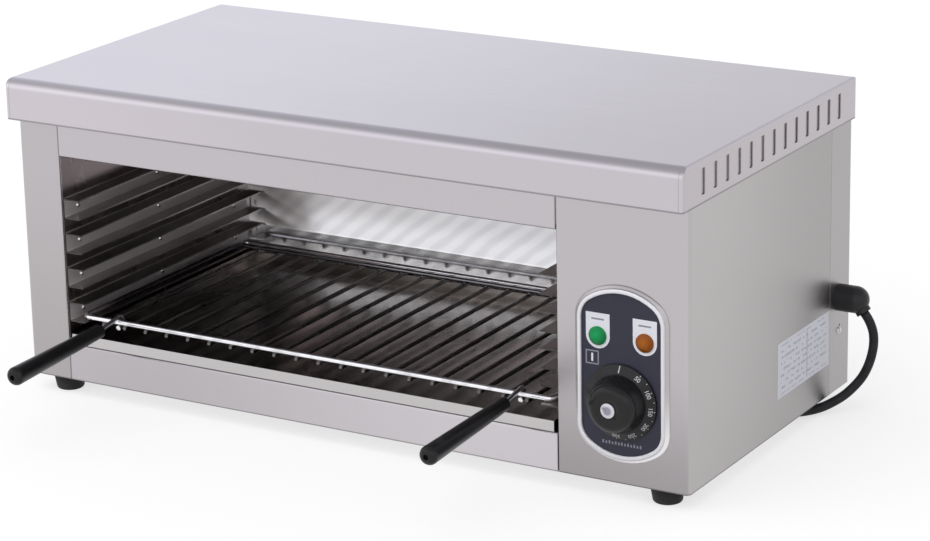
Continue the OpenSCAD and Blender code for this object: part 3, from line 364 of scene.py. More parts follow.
moulding = grained(
    "black_moulding", ((0.010, 0.010, 0.011), (0.022, 0.022, 0.024)), (60, 3),
    (0.3, 0.16), 300, 1500, 0.00004, edge=0.0004, Specular_IOR_Level=0.3,
)
coat(moulding, "cord_gland", "gland_locknut", "plug_body")
brass = grained(
    "brass_parts", ((0.62, 0.42, 0.16), (0.78, 0.58, 0.28)), (200, 3),
    (0.22, 0.2), 500, 3000, 0.00001, edge=0.0002, Metallic=1.0,
)
coat(brass, "plug_pins", "element_terminals", "earth_stud")


# Feet: four turned-over cups of black rubber, each held by a screw up through the base plate.
# Their skin is matt, a little dusty towards the counter.
foot_rubber = Finish("foot_rubber").set(Specular_IOR_Level=0.25)
dust_top = 14 * mm
dust = foot_rubber.place("Z").ramp(dust_top, 0.0) * foot_rubber.noise(150, 3)
foot_rubber.set(
    Base_Color=foot_rubber.mix(dust, (0.012, 0.012, 0.014), (0.06, 0.058, 0.055)),
    Roughness=0.5 + 0.25 * foot_rubber.noise(400, 2),
)
foot_rubber.bump(foot_rubber.noise(1800, 2), 0.00006)
coat(foot_rubber, "front_left_foot", "front_right_foot", "rear_left_foot", "rear_right_foot")


# Casing: one millimetre stainless sheet with a fine brushed grain that runs along each panel,
# folded at the corners. The tone differs from sheet to sheet and from one end of a sheet to the
# other as painted light and shade; painted shade draws dark lines along the lower edges and the
# lower panel's top fold, and the butted ends and the cover's corner seams show as darker lines.
def brushed(name, tint, along, roughness=0.27, edge=0.0007):
    """Brushed stainless whose grain runs along the axes listed; tint(steel) is its tone."""
    steel = Finish(name).set(Metallic=1.0)
    fine = steel.noise([14 if axis in along else 1400 for axis in "XYZ"], 3)
    broad = steel.noise([1.2 if axis in along else 9 for axis in "XYZ"], 2)
    shade = steel.mix(0.6 * broad + 0.4 * fine, (0.94, 0.94, 0.94), (1, 1, 1))
    steel.set(
        Base_Color=steel.times(tint(steel), shade),
        Roughness=roughness - 0.06 + 0.12 * fine + 0.06 * broad,
    )
    return steel.bump(fine, 0.000003, edge)


def lined(steel, tone, dark, *lines):
    """The tone with a darker line wherever one of the masks is 1."""
    mask = lines[0]
    for line in lines[1:]:
        mask = mask.most(line)
    return steel.times(tone, steel.mix(mask, (1, 1, 1), (dark, dark, dark)))


def hem(steel, node, width=1.1 * mm):
    """1 along the lower edge of the node, where painted shade draws a dark line."""
    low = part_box(node)[0][2]
    return steel.place("Z").ramp(low + width, low + width * 0.6)


def butted_ends(steel, node, width=0.9 * mm):
    """1 along the left and the right edge of the node."""
    low, high = (end[0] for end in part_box(node))
    return steel.place("X").ramp(low + width, low + width * 0.5).most(
        steel.place("X").ramp(high - width, high - width * 0.5))


def housing_tone(steel):
    # Painted shade: the front darkens towards the bottom, the side is darker and darkens towards
    # the back, and a dark line of painted shade runs along the lower edge.
    front = steel.mix(
        steel.place("Z").ramp(0.01, 0.12), (0.385, 0.365, 0.375), (0.545, 0.515, 0.53))
    side = steel.mix(
        steel.place("Y").ramp(-0.08, 0.17), (0.485, 0.465, 0.465), (0.375, 0.357, 0.357))
    fold_start, fold_end = 301.5 * mm, 303.2 * mm
    tone = steel.mix(steel.place("X").ramp(fold_start, fold_end), front, side)
    return lined(steel, tone, 0.5, hem(steel, "control_housing"))


def post_tone(steel):
    # Painted shade: darker towards the bottom, with a dark line of painted shade along the lower
    # edge.
    tone = steel.mix(steel.place("Z").ramp(0.01, 0.2), (0.455, 0.432, 0.437), (0.53, 0.505, 0.52))
    return lined(steel, tone, 0.5, hem(steel, "left_side_panel"))


def rail_tone(steel):
    # A flat tone set for how this sheet is lit, as painted light, and a dark line of painted shade
    # along the lower edge; the butted ends show as seams.
    return lined(steel, (0.565, 0.535, 0.56), 0.55, butted_ends(steel, "upper_front_rail"),
                 hem(steel, "upper_front_rail", 0.7 * mm))


def panel_tone(steel):
    top_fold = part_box("lower_front_panel")[1][2]
    # Painted shade: darker to the left, with dark lines of painted shade along the lower edge and
    # the top fold; the butted ends show as seams.
    tone = steel.mix(steel.place("X").ramp(-0.25, 0.2), (0.53, 0.50, 0.52), (0.655, 0.62, 0.65))
    fold_shade = steel.place("Z").ramp(top_fold - 1.1 * mm, top_fold - 0.6 * mm)
    return lined(steel, tone, 0.5, hem(steel, "lower_front_panel"),
                 butted_ends(steel, "lower_front_panel"), fold_shade)


def cover_tone(steel):
    x, top = steel.place("X"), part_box("top_cover")[1][2]
    # Painted reflection and shade: the top is bluish and lightest to the left, the front lightens
    # to the left, the right skirt is darker, and a dark line of painted shade runs along the lower
    # edge.
    above = steel.mix(x.ramp(-0.25, 0.42), (0.725, 0.705, 0.775), (0.53, 0.505, 0.535))
    front = steel.mix(x.ramp(-0.3, 0.05), (0.645, 0.605, 0.64), (0.59, 0.558, 0.592))
    skirt_start, skirt_end = 304.0 * mm, 304.7 * mm
    upright_faces = steel.mix(x.ramp(skirt_start, skirt_end), front, (0.505, 0.47, 0.493))
    tone = steel.mix(
        steel.place("Z").ramp(top - 3 * mm, top - 0.5 * mm), upright_faces, above)
    seam_x, below_top = 301.2 * mm, steel.place("Z").ramp(top - 1 * mm, top - 4 * mm)
    corner_seam = abs(abs(x) - seam_x).ramp(0.5 * mm, 0.2 * mm) * below_top * 0.5
    return lined(steel, tone, 0.55, hem(steel, "top_cover", 1.6 * mm), corner_seam)


coat(brushed("mill_base", lambda steel: (0.5, 0.5, 0.5), "X", roughness=0.4), "base_plate")
coat(brushed("brushed_post", post_tone, "XY"), "left_side_panel")
coat(brushed("brushed_housing", housing_tone, "XY", roughness=0.3), "control_housing")
coat(brushed("brushed_rear", lambda steel: (0.405, 0.385, 0.39), "XY", roughness=0.3), "rear_panel")
coat(brushed("brushed_rail", rail_tone, "X"), "upper_front_rail")
coat(brushed("brushed_panel", panel_tone, "X"), "lower_front_panel")
coat(brushed("brushed_cover", cover_tone, "X"), "top_cover")


# Cavity: the same sheet, darkened and lightly straw-tinted by the heat, with a painted reflection
# lightening the side walls above the top runner. The rear wall is bright and slightly bowed, with a
# level grain; its tone is painted light and shade and its slanting streaks are painted reflections
# of the rack's rods. The runners are channels of duller sheet with heat-tinted patches on their
# flanges, held by bright domed rivets; their webs are painted pale as painted light.
def heated(name, tone, roughness, waviness, edge=0.0, web_dullness=0.0):
    """Cavity sheet: tone(lining) is its colour, with a slow waviness in metres."""
    lining = Finish(name).set(Metallic=1.0)
    gloss = roughness + 0.08 * lining.noise(40, 3)
    if web_dullness:
        gloss = gloss + web_dullness * runner_web(lining)
    lining.set(Base_Color=tone(lining), Roughness=gloss)
    return lining.bump(lining.noise((32, 32, 7), 2), waviness, edge)


def patchy(lining, clean, tinted):
    """Clean sheet with heat-tinted patches."""
    return lining.mix(lining.noise((9, 9, 22), 4).ramp(0.42, 0.72), clean, tinted)


def wall_tone(lining):
    # Painted reflection: the walls are painted lighter above the top runner.
    lit_band_from, lit_band_to = 171 * mm, 179 * mm
    darkened = patchy(lining, (0.44, 0.415, 0.405), (0.30, 0.265, 0.245))
    return lining.mix(lining.place("Z").ramp(lit_band_from, lit_band_to), darkened, (0.72, 0.64, 0.64))


def runner_web(lining):
    """1 on the runners' webs, which lie flat on the side walls, and 0 on their flanges."""
    cavity_low, cavity_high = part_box("cavity_floor")
    cavity_middle = (cavity_low[0] + cavity_high[0]) / 2
    wall_in = (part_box("cavity_right_wall")[0][0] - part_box("cavity_left_wall")[1][0]) / 2
    return abs(lining.place("X") - cavity_middle).ramp(wall_in - 1.8 * mm, wall_in - 1.3 * mm)


def runner_tone(lining):
    # Painted light: the webs are painted near white, palest at the front ends and a little darker
    # lower down.
    behind_front = lining.place("Y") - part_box("left_runner_1")[0][1]
    lit_front_end = behind_front.ramp(24 * mm, 19 * mm)
    cut_end = behind_front.ramp(0.5 * mm, 0.3 * mm)
    deeper = lining.place("Z").ramp(175 * mm, 60 * mm)
    lit_web = (0.97, 0.93, 0.92)
    webs = lining.mix(lit_front_end, lining.mix(deeper, lit_web, (0.93, 0.89, 0.88)), lit_web)
    flanges = patchy(lining, (0.52, 0.495, 0.485), (0.38, 0.35, 0.335))
    return lining.mix(cut_end, lining.mix(runner_web(lining), flanges, webs), (0.09, 0.085, 0.08))


wall_steel = heated("cavity_wall_steel", wall_tone, 0.24, 0.0002, edge=0.0005)
runner_steel = heated("runner_steel", runner_tone, 0.28, 0.00005, web_dullness=0.3)
coat(wall_steel, "cavity_left_wall", "cavity_right_wall", "cavity_ceiling", "cavity_floor")
coat(runner_steel, *(f"{side}_runner_{n}" for side in ("left", "right") for n in (1, 2, 3, 4)))
rear_bright = Finish("cavity_rear_steel").set(Metallic=1.0)
wall_x, wall_z = rear_bright.place("X"), rear_bright.place("Z")
rear_relief = 0.03 * mm
# The bow's slopes are in depths of the relief a metre; below the press line it is less steep.
lean_up, lean_across, lean_fade = 3300, 5000, 1500
press_line, press_lean = 77.5 * mm, 3800
slight_bow = (
    lean_up * wall_z + press_lean * (wall_z - press_line).most(0)
    + (lean_across - lean_fade * wall_x) * wall_x
)
above_rack = wall_z.ramp(90 * mm, 125 * mm)
level_grain = rear_bright.noise((14, 14, 1400), 3)
wavy_sheet = level_grain + 2 * rear_bright.noise((26, 26, 12), 2)
# Painted reflection: slanting streaks a rod's pitch apart stand for the rack's rods mirrored in the
# wall.
streak_pitch, streak_slant = 20.87 * mm, 1.21
streak_phase = (wall_x - streak_slant * wall_z) / streak_pitch + 0.6 * rear_bright.noise((22, 22, 30), 3)
painted_rod_reflections = (streak_phase * (2 * math.pi)).sine().ramp(-0.8, 1.0) * wall_z.ramp(150 * mm, 100 * mm)
# Painted light and shade: the wall is palest below the press line, darker just above it, and darker
# still higher up and towards the left.
upper_tone = rear_bright.mix(wall_x.ramp(-0.05, -0.13), (0.645, 0.64, 0.645), (0.58, 0.565, 0.565))
lower_tone = rear_bright.mix(
    wall_z.ramp(80 * mm, 77 * mm), (0.80, 0.795, 0.80), (0.98, 0.975, 0.98))
rear_bright.set(
    Base_Color=rear_bright.times(
        rear_bright.mix(painted_rod_reflections, (1, 1, 1), (0.87, 0.87, 0.88)),
        rear_bright.mix(wall_z.ramp(108 * mm, 86 * mm), upper_tone, lower_tone),
    ),
    Roughness=0.08 + 0.1 * above_rack + 0.08 * rear_bright.noise(40, 3),
)
rear_bright.bump((0.3 + 0.7 * above_rack) * wavy_sheet - slight_bow, rear_relief)
coat(rear_bright, "cavity_rear_wall")
rivet_steel = grained(
    "rivet_steel", ((0.7, 0.69, 0.69), (0.88, 0.88, 0.88)), (300, 2),
    (0.14, 0.12), 900, 1200, 0.00003, Metallic=1.0,
)
coat(rivet_steel, "runner_rivets")


# Heating elements: hairpins of steel tube, oxidised dark, in white ceramic bushes through the
# right wall and hung from straps under the ceiling.
sheath = Finish("element_sheath").set(Metallic=1.0)
scale_marks = sheath.noise(120, 4)
sheath.set(
    Base_Color=sheath.mix(scale_marks, (0.06, 0.055, 0.052), (0.17, 0.15, 0.14)),
    Roughness=0.45 + 0.2 * scale_marks,
)
sheath.bump(sheath.noise(1500, 3), 0.00006)
coat(sheath, "front_heating_element", "rear_heating_element")
ceramic = grained(
    "ceramic_bush", ((0.78, 0.74, 0.66), (0.88, 0.86, 0.8)), (400, 3),
    (0.55, 0.2), 200, 2500, 0.00003, edge=0.0003,
)
coat(ceramic, "element_insulators")
plated = grained(
    "plated_steel", ((0.5, 0.5, 0.49), (0.66, 0.66, 0.65)), (250, 3),
    (0.24, 0.16), 700, 2500, 0.00001, edge=0.0003, Metallic=1.0,
)
coat(plated, "element_brackets", "bulb_clips", "screws", "foot_screws", "thermostat_shaft")


# Thermostat, terminal block, lamps and wires: the works behind the control front.
# Phenolic body, white nylon mouldings, a drawn copper bulb and red silicone-covered conductors.
phenolic = grained(
    "brown_moulding", ((0.09, 0.045, 0.025), (0.14, 0.075, 0.04)), (500, 4),
    (0.42, 0.2), 300, 1200, 0.00005, edge=0.0006,
)
coat(phenolic, "thermostat_body")
nylon = grained(
    "white_moulding", ((0.78, 0.78, 0.76), (0.86, 0.86, 0.85)), (120, 3),
    (0.32, 0.14), 500, 1500, 0.00003, edge=0.0005,
)
coat(nylon, "terminal_block", "lamp_bodies")
copper = grained(
    "copper_tube", ((0.42, 0.19, 0.10), (0.62, 0.32, 0.19)), (90, 4),
    (0.26, 0.2), 300, (900, 60, 900), 0.00002, Metallic=1.0,
)
coat(copper, "sensing_bulb")
insulation = grained(
    "wire_insulation", ((0.26, 0.02, 0.014), (0.36, 0.03, 0.02)), (200, 3),
    (0.45, 0.15), 400, 1800, 0.00003,
)
coat(insulation, "internal_wires")


# Fascia: a raised frame with a white rim and a satin metal bevel round a dark printed plate.
# Both are oblongs with crowned ends, glued to the control front.
fascia_low, fascia_high = (Vector(p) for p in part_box("fascia_bezel"))
bevel = 3 * mm
fascia_x = (fascia_low.x + fascia_high.x) / 2
fascia_z = (fascia_low.z + fascia_high.z) / 2
fascia_back = fascia_high.y
half_w = (fascia_high.x - fascia_low.x) / 2 - bevel
half_h = (fascia_high.z - fascia_low.z) / 2 - bevel
corner_r, crown_r = 20 * mm, half_w + 12 * mm
corner_x = half_w - corner_r
corner_rise = math.sqrt((crown_r - corner_r) ** 2 - corner_x ** 2)
crown_z = half_h - crown_r
corner_z = crown_z + corner_rise
lean = math.atan2(corner_rise, corner_x)


def fascia_ring(inset, forward, steps=10):
    """Points of the fascia's outline, moved in by inset and forward from the control front."""
    ring = []
    for centre, radius, start, end in (
        ((corner_x, corner_z), corner_r, 0, lean),
        ((0, crown_z), crown_r, lean, math.pi - lean),
        ((-corner_x, corner_z), corner_r, math.pi - lean, math.pi),
        ((-corner_x, -corner_z), corner_r, math.pi, math.pi + lean),
        ((0, -crown_z), crown_r, math.pi + lean, 2 * math.pi - lean),
        ((corner_x, -corner_z), corner_r, 2 * math.pi - lean, 2 * math.pi),
    ):
        for i in range(steps + 1):
            angle = start + (end - start) * i / steps
            ring.append(Vector((
                fascia_x + centre[0] + (radius - inset) * math.cos(angle),
                fascia_back - forward,
                fascia_z + centre[1] + (radius - inset) * math.sin(angle),
            )))
    return ring[::-1]


def lofted(name, rings, closed_round=True, caps=False, finish_from=()):
    """A mesh through rings of points; each next finish starts at the ring in finish_from."""
    shape = bmesh.new()
    loops = [[shape.verts.new(p) for p in ring] for ring in rings]
    pairs = list(zip(loops, loops[1:]))
    if closed_round:
        pairs.append((loops[-1], loops[0]))
    for i, (low, high) in enumerate(pairs):
        for k in range(len(low)):
            after = (k + 1) % len(low)
            face = shape.faces.new((low[k], low[after], high[after], high[k]))
            face.smooth = True
            face.material_index = sum(i >= start for start in finish_from)
    if caps:
        shape.faces.new(reversed(loops[0]))
        shape.faces.new(loops[-1])
    bmesh.ops.remove_doubles(shape, verts=shape.verts, dist=1e-7)
    bmesh.ops.recalc_face_normals(shape, faces=shape.faces)
    mesh = bpy.data.meshes.new(name)
    shape.to_mesh(mesh)
    shape.free()
    return mesh


bezel_steps = (
    (-3, 0), (-2.9, 0.35), (-2.2, 0.9), (-1.2, 1.5), (-0.4, 2.0), (0, 2.6),
    (0.25, 3.2), (0.6, 3.4), (2.4, 3.4), (2.85, 3.25), (3, 2.9), (3, 0),
)
bevel_metal = Finish("bezel_bevel").set(Metallic=1.0)
# Painted reflection: the bevel's lower half is painted pale and its upper half dark.
lit_lower_half = bevel_metal.place("Z").ramp(fascia_z, fascia_low.z)
bevel_metal.set(
    Base_Color=bevel_metal.times(
        bevel_metal.mix(bevel_metal.noise(160, 3), (0.92, 0.92, 0.92), (1, 1, 1)),
        bevel_metal.mix(lit_lower_half, (0.50, 0.48, 0.485), (0.97, 0.95, 0.96)),
    ),
    Roughness=0.3 + 0.1 * bevel_metal.noise(700, 2),
)
bevel_metal.bump(bevel_metal.noise(1500, 2), 0.000008)
rim_enamel = grained(
    "bezel_rim", ((0.91, 0.90, 0.95), (0.96, 0.955, 0.99)), (140, 3),
    (0.26, 0.12), 500, 1800, 0.00001,
)
bezel_rings = [fascia_ring(inset * mm, forward * mm) for inset, forward in bezel_steps]
rim_step = 5
bezel_mesh = lofted("fascia_frame", bezel_rings, finish_from=(rim_step,))
bezel = piece_from("fascia_frame", bezel_mesh, bevel_metal, "cabinet")
bezel.data.materials.append(rim_enamel.material)
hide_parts("fascia_bezel")

plate_paint = Finish("navy_plate").set(Specular_IOR_Level=0.3)
clouds = plate_paint.noise(55, 3)
plate_paint.set(
    Base_Color=plate_paint.mix(clouds, (0.030, 0.030, 0.050), (0.040, 0.040, 0.064)),
    Roughness=0.32 + 0.16 * plate_paint.noise(260, 3),
)
plate_paint.bump(plate_paint.noise(2400, 2), 0.000012)
coat(plate_paint, "fascia_plate")


# Prints on the plate: a white tag behind each lamp with a plain grey bar, a small square mark with
# a stroke in it, and a row of strokes under the dial. They stand a tenth of a millimetre proud.
plate_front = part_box("fascia_plate")[0][1]
lamp_places = [
    ((low[0] + high[0]) / 2, (low[2] + high[2]) / 2)
    for low, high in (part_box("green_lamp_lens"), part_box("amber_lamp_lens"))
]
dial_low, dial_high = (Vector(p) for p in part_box("dial_skirt"))
dial_x, dial_z = (dial_low.x + dial_high.x) / 2, (dial_low.z + dial_high.z) / 2


def bar(x0, x1, z0, z1):
    """Corners of an upright rectangle."""
    return [(x0, z0), (x1, z0), (x1, z1), (x0, z1)]


def printed(name, finish, outlines, front, thick):
    """Flat marks on the plate, each an outline in X and Z, as one piece."""
    shape, sunk = bmesh.new(), 0.02 * mm
    for outline in outlines:
        near = [shape.verts.new((x, front - thick, z)) for x, z in outline]
        far = [shape.verts.new((x, front + sunk, z)) for x, z in outline]
        shape.faces.new(near)
        shape.faces.new(reversed(far))
        for k in range(len(outline)):
            after = (k + 1) % len(outline)
            shape.faces.new((near[k], far[k], far[after], near[after]))
    bmesh.ops.recalc_face_normals(shape, faces=shape.faces)
    mesh = bpy.data.meshes.new(name)
    shape.to_mesh(mesh)
    shape.free()
    piece = piece_from(name, mesh, finish, "cabinet")
    return piece


half_tag, tag_top, tag_arc, print_t = 9.9 * mm, 17.6 * mm, 24, 0.1 * mm
tag_ink = grained(
    "tag_white", ((0.88, 0.88, 0.95), (0.93, 0.93, 0.99)), (300, 2),
    (0.38, 0.12), 800, 2000, 0.000006,
)
tags = []
for x, z in lamp_places:
    round_end = [
        (x + half_tag * math.cos(a), z + half_tag * math.sin(a))
        for a in (math.pi * (1 + k / tag_arc) for k in range(tag_arc + 1))
    ]
    tags.append(round_end + [(x + half_tag, z + tag_top), (x - half_tag, z + tag_top)])
printed("lamp_tags", tag_ink, tags, plate_front, print_t)

grey_ink = grained(
    "grey_ink", ((0.24, 0.24, 0.29), (0.34, 0.34, 0.40)), (600, 3),
    (0.42, 0.12), 800, 2000, 0.000006,
)
bars = [bar(x - 5.2 * mm, x + 5.2 * mm, z + 12.2 * mm, z + 13.5 * mm) for x, z in lamp_places]
printed("tag_bars", grey_ink, bars, plate_front - print_t, 0.05 * mm)

mark_x, mark_z = fascia_x - 24.3 * mm, fascia_z + 10.6 * mm
mark_out, mark_in = 5.5 * mm, 4.5 * mm
mark_frame = [
    bar(mark_x - mark_out, mark_x + mark_out, mark_z - mark_out, mark_z - mark_in),
    bar(mark_x - mark_out, mark_x + mark_out, mark_z + mark_in, mark_z + mark_out),
    bar(mark_x - mark_out, mark_x - mark_in, mark_z - mark_in, mark_z + mark_in),
    bar(mark_x + mark_in, mark_x + mark_out, mark_z - mark_in, mark_z + mark_in),
]
printed("square_mark", grey_ink, mark_frame, plate_front, print_t)
mark_stroke = [bar(mark_x - 0.8 * mm, mark_x + 0.8 * mm, mark_z - 3.2 * mm, mark_z + 3.2 * mm)]
printed("mark_stroke", tag_ink, mark_stroke, plate_front, print_t)
stroke_pitch, half_stroke, strokes_a_side = 2.6 * mm, 0.65 * mm, 6
strokes_low, strokes_high = dial_z - 34.6 * mm, (dial_z - 32.0 * mm, dial_z - 32.6 * mm)
strokes = []
for i in range(-strokes_a_side, strokes_a_side + 1):
    stroke_x = fascia_x + i * stroke_pitch
    strokes.append(
        bar(stroke_x - half_stroke, stroke_x + half_stroke, strokes_low, strokes_high[i % 2]))
printed("plate_strokes", grey_ink, strokes, plate_front, print_t)


# Pilot lamps: two domed lenses of tinted plastic, unlit, each with a small paler glow in the
# middle where the white body behind it shows through.
def lens_finish(name, deep, pale, node_name, middle):
    """Tinted plastic that is paler towards the middle of the lens."""
    lens_plastic = Finish(name).set(Specular_IOR_Level=0.22)
    x = lens_plastic.place("X") - middle[0]
    z = lens_plastic.place("Z") - middle[1]
    glow = (x * x + z * z).root().ramp(6.5 * mm, 1 * mm)
    lens_plastic.set(
        Base_Color=lens_plastic.mix(glow * 0.7 + 0.3 * lens_plastic.noise(900, 2), deep, pale),
        Roughness=0.2 + 0.1 * lens_plastic.noise(700, 2),
    )
    lens_plastic.bump(lens_plastic.noise(1400, 2), 0.00004)
    coat(lens_plastic, node_name)


green_place, amber_place = lamp_places
lens_finish(
    "green_lens", (0.001, 0.22, 0.055), (0.004, 0.40, 0.11), "green_lamp_lens", green_place)
lens_finish(
    "amber_lens", (0.25, 0.06, 0.002), (0.46, 0.13, 0.006), "amber_lamp_lens", amber_place)


# Thermostat dial: a black conical skirt, a black round knob with a shallow dish and a plain turned
# metal cap. The scale is printed on the skirt: a stroke at the top, numerals down the right.
dial_black = grained(
    "dial_black", ((0.006, 0.006, 0.007), (0.012, 0.012, 0.013)), (80, 3),
    (0.2, 0.1), 420, 1600, 0.00003, edge=0.0004, Specular_IOR_Level=0.32,
)
coat(dial_black, "dial_skirt", "control_knob")
cap_metal = Finish("turned_cap").set(Metallic=1.0)
cap_dx = cap_metal.place("X") - dial_x
cap_dz = cap_metal.place("Z") - dial_z
turned = (cap_dx * cap_dx + cap_dz * cap_dz).root()
groove_pitch = 0.69813 * mm
grooves = (turned * (2 * math.pi / groove_pitch)).sine() * 0.5 + 0.5
dull_middle, bright_rim = 2.2 * mm, 4.4 * mm
cap_metal.set(
    Base_Color=cap_metal.mix(
        turned.ramp(dull_middle, bright_rim), (0.30, 0.30, 0.36), (0.62, 0.61, 0.66)),
    Roughness=0.2 + 0.12 * cap_metal.noise(900, 2),
)
cap_metal.bump(grooves, 0.00002, edge=0.0003)
coat(cap_metal, "knob_cap")

cone_rise, cone_run = 3.4 * mm, 6.5 * mm
cone_slope = math.atan2(cone_rise, cone_run)
cone_mid = 26.25 * mm
cone_front = dial_low.y + cone_rise / 2
print_lift = 0.03 * mm


def on_dial(turn, out=0.0):
    """Place on the skirt's cone, turned clockwise from the top: X along, Y outwards, Z off it."""
    angle = math.radians(turn)
    outward = Vector((math.sin(angle), 0, math.cos(angle)))
    forward = Vector((0, -1, 0))
    along = Vector((math.cos(angle), 0, -math.sin(angle)))
    down = outward * math.cos(cone_slope) - forward * math.sin(cone_slope)
    off = outward * math.sin(cone_slope) + forward * math.cos(cone_slope)
    centre = Vector((dial_x, cone_front, dial_z))
    spot = centre + cone_mid * outward + out * down + print_lift * off
    return Matrix.Translation(spot) @ Matrix((along, down, off)).transposed().to_4x4()


scale_shape = bmesh.new()
scale_start, scale_step, scale_temperatures = 36, 30, (50, 100, 150, 200, 250, 300)
for i, temperature in enumerate(scale_temperatures):
    numeral = bpy.data.curves.new("numeral", "FONT")
    numeral.body = str(temperature)
    numeral.size = 4.7 * mm
    numeral.extrude = 0.05 * mm
    numeral.offset = 0.06 * mm
    numeral.resolution_u = 3
    numeral.align_x, numeral.align_y = "CENTER", "CENTER"
    letters = bpy.data.objects.new("numeral", numeral)
    bpy.context.scene.collection.objects.link(letters)
    bpy.context.view_layer.update()
    solid = bpy.data.meshes.new_from_object(letters)
    solid.transform(on_dial(scale_start + i * scale_step, -0.5 * mm))
    scale_shape.from_mesh(solid)
    bpy.data.objects.remove(letters)
    bpy.data.meshes.remove(solid)
    bpy.data.curves.remove(numeral)
top_stroke = (0, 0.0, 0.8, 5.4)
dots = [
    (scale_start + i * scale_step / 2, 2.6, 0.5, 1.0)
    for i in range(2 * len(scale_temperatures) - 1)
]
for turn, out, wide, long in (top_stroke, *dots):
    stroke_size = Matrix.Diagonal((wide * mm, long * mm, print_t, 1))
    bmesh.ops.create_cube(scale_shape, size=1, matrix=on_dial(turn, out * mm) @ stroke_size)
scale_mesh = bpy.data.meshes.new("dial_scale")
scale_shape.to_mesh(scale_mesh)
scale_shape.free()
scale_ink = grained(
    "scale_ink", ((0.50, 0.50, 0.52), (0.66, 0.66, 0.67)), (700, 3),
    (0.4, 0.15), 900, 2500, 0.000006,
)
dial_scale = piece_from("dial_scale", scale_mesh, scale_ink, "knob")


# Rating label: a bluish-white film on the right side, ruled in broken grey rows that stand in for
# its print, with a darker rule down the middle. It bears no words.
label_low, label_high = (Vector(p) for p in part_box("rating_label"))
label_size = label_high - label_low
film = Finish("label_film").set(Specular_IOR_Level=0.35)
across = (film.place("Y") - label_low.y) / label_size.y
rise = (film.place("Z") - label_low.z) / label_size.z
label_rows, rule_across = 9, 0.56
in_row = abs((rise * label_rows).fraction() - 0.5).ramp(0.24, 0.16)
broken = film.noise((0, 260, 200), 1).ramp(0.46, 0.52)
inside = abs(across - 0.5).ramp(0.45, 0.43) * abs(rise - 0.5).ramp(0.46, 0.43)
rule = abs(across - rule_across).ramp(0.012, 0.006) * inside
print_mask = (in_row * broken * inside).most(rule) * (0.55 + 0.45 * film.noise(500, 2))
film.set(
    Base_Color=film.mix(print_mask, (0.92, 0.92, 0.99), (0.52, 0.52, 0.60)),
    Roughness=0.34 + 0.12 * film.noise(300, 2),
)
film.bump(film.noise(120, 2), 0.00004)
coat(film, "rating_label")


# Drip tray: a shallow folded tray of bright sheet that slides in under the rack, with fine
# scratches along its length and stains inside; painted shade darkens it towards the front and in
# a band along its back, and its front lip is clean.
tray_steel = Finish("tray_steel").set(Metallic=1.0)
scratches = tray_steel.noise((900, 25, 900), 3)
stains = tray_steel.noise(16, 5).ramp(0.5, 0.75)
tray_front, tray_back = (end[1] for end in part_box("drip_tray"))
behind_front = tray_steel.place("Y") - tray_front
# Painted shadow: a dark band along the back of the tray.
painted_rear_shadow = behind_front.ramp(tray_back - tray_front - 12 * mm, tray_back - tray_front - 6 * mm)
# Stains, with painted shade darkening the tray towards the front.
stains_and_shade = tray_steel.mix(
    behind_front.ramp(100 * mm, 20 * mm),
    tray_steel.mix(stains, (0.60, 0.575, 0.56), (0.42, 0.385, 0.365)), (0.27, 0.255, 0.245),
)
stains_and_shade = tray_steel.times(stains_and_shade, tray_steel.mix(painted_rear_shadow, (1, 1, 1), (0.5, 0.48, 0.46)))
clean_lip = behind_front.ramp(1.2 * mm, 0.6 * mm)
tray_steel.set(
    Base_Color=tray_steel.mix(clean_lip, stains_and_shade, (0.56, 0.54, 0.54)),
    Roughness=0.13 + 0.1 * scratches + 0.12 * stains,
)
tray_steel.bump(tray_steel.noise(14) + 0.02 * scratches, 0.0003, edge=0.0005)
coat(tray_steel, "drip_tray")


# Rack: a frame of chromed wire with heat-dulled patches, bright along its front and back and
# painted dark along its sides as painted shade, with twenty thinner rods welded under it. Each rod
# has a rounded end that stands out before the front wire, and a small weld at every crossing.
chrome = Finish("chromed_wire").set(Metallic=1.0)
dulled = chrome.noise((60, 24, 60), 4).ramp(0.45, 0.8)
rack_front, rear_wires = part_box("rack_frame")[0][1], 157 * mm
rack_y = chrome.place("Y")
# Painted shade: the side wires are painted dark.
shaded_side_wires = rack_y.ramp(rack_front + 12 * mm, rack_front + 50 * mm)
shaded_side_wires = shaded_side_wires * rack_y.ramp(rear_wires, rear_wires - 7 * mm)
front_dulled = dulled * rack_y.ramp(rear_wires - 7 * mm, rear_wires - 17 * mm)
chrome.set(
    Base_Color=chrome.mix(
        shaded_side_wires, chrome.mix(front_dulled, (0.88, 0.88, 0.91), (0.55, 0.54, 0.54)),
        (0.16, 0.16, 0.18),
    ),
    Roughness=0.14 + 0.14 * dulled,
)
chrome.bump(chrome.noise(900, 2), 0.00001)
coat(chrome, "rack_frame")
handle_chrome = grained(
    "handle_chrome", ((0.78, 0.78, 0.80), (0.92, 0.92, 0.94)), (90, 3),
    (0.16, 0.1), 300, 900, 0.00001, Metallic=1.0,
)
coat(handle_chrome, "handle_rods")
rods_low, rods_high = (Vector(p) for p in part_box("rack_rods"))
frame_low, frame_high = (Vector(p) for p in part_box("rack_frame"))
rod_count, rod_sides, rod_r = 20, 14, (rods_high.z - rods_low.z) / 2
rod_pitch = (rods_high.x - rods_low.x - 2 * rod_r) / (rod_count - 1)
rod_z = (rods_low.z + rods_high.z) / 2
frame_r = (frame_high.z - frame_low.z) / 2
rear_wire_in = 9 * mm
weld_ys = (frame_low.y + frame_r, frame_high.y - frame_r - rear_wire_in, frame_high.y - frame_r)
end_profile = ((0.0, 0.02), (0.06, 0.45), (0.3, 0.74), (0.75, 0.93), (1.4, 1.0))
stations = [(rods_low.y + d * mm, s) for d, s in end_profile]
stations += [(rods_high.y - d * mm, s) for d, s in reversed(end_profile)]
rack_shape = bmesh.new()
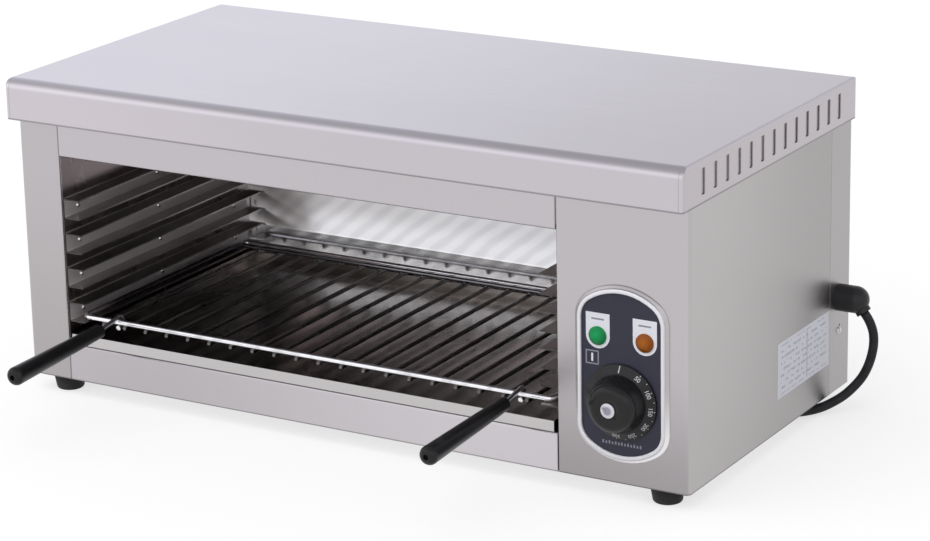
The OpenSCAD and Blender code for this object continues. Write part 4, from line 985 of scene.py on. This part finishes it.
weld_r, weld_spread = 1.15 * mm, Matrix.Diagonal((2.0, 1.5, 1.0, 1))
for i in range(rod_count):
    x = rods_low.x + rod_r + i * rod_pitch
    rings = [
        [Vector((x + s * rod_r * math.cos(a), y, rod_z + s * rod_r * math.sin(a)))
         for a in (2 * math.pi * k / rod_sides for k in range(rod_sides))]
        for y, s in stations
    ]
    rod = lofted("rod", rings, closed_round=False, caps=True)
    rack_shape.from_mesh(rod)
    bpy.data.meshes.remove(rod)
    for y in weld_ys:
        weld = Matrix.Translation((x, y, rods_high.z)) @ weld_spread
        bmesh.ops.create_icosphere(rack_shape, subdivisions=2, radius=weld_r, matrix=weld)
for face in rack_shape.faces:
    face.smooth = True
rods_mesh = bpy.data.meshes.new("welded_rods")
rack_shape.to_mesh(rods_mesh)
rack_shape.free()
# Painted shade: the rods' chrome is painted darker than the frame's and darkest at their front
# ends, with heat-dulled patches.
rod_chrome = Finish("rod_chrome").set(Metallic=1.0)
rod_dull = rod_chrome.noise((70, 14, 70), 4).ramp(0.35, 0.75)
shaded_rod_ends = rod_chrome.place("Y").ramp(rods_low.y + 4 * mm, rods_low.y + 2 * mm)
rod_chrome.set(
    Base_Color=rod_chrome.mix(rod_dull.most(shaded_rod_ends), (0.26, 0.255, 0.25), (0.15, 0.145, 0.14)),
    Roughness=0.22 + 0.14 * rod_dull,
)
rod_chrome.bump(rod_chrome.noise(900, 2), 0.00001)
rods = piece_from("welded_rods", rods_mesh, rod_chrome, "rack")
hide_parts("rack_rods")


# Grips: two long tapered handles of black moulded plastic, pushed on to the handle rods. Their
# skin is satin, with a fine lengthwise draw and a few paler rub marks towards the tips.
grip_black = Finish("grip_black").set(Specular_IOR_Level=0.3)
drawn = grip_black.noise((500, 40, 500), 3)
rubbed = grip_black.noise((60, 30, 60), 4).ramp(0.62, 0.8)
grip_black.set(
    Base_Color=grip_black.mix(rubbed, (0.008, 0.008, 0.009), (0.03, 0.03, 0.032)),
    Roughness=0.26 + 0.16 * drawn + 0.08 * rubbed,
)
grip_black.bump(drawn, 0.00003, edge=0.0004)
coat(grip_black, "left_grip", "right_grip")
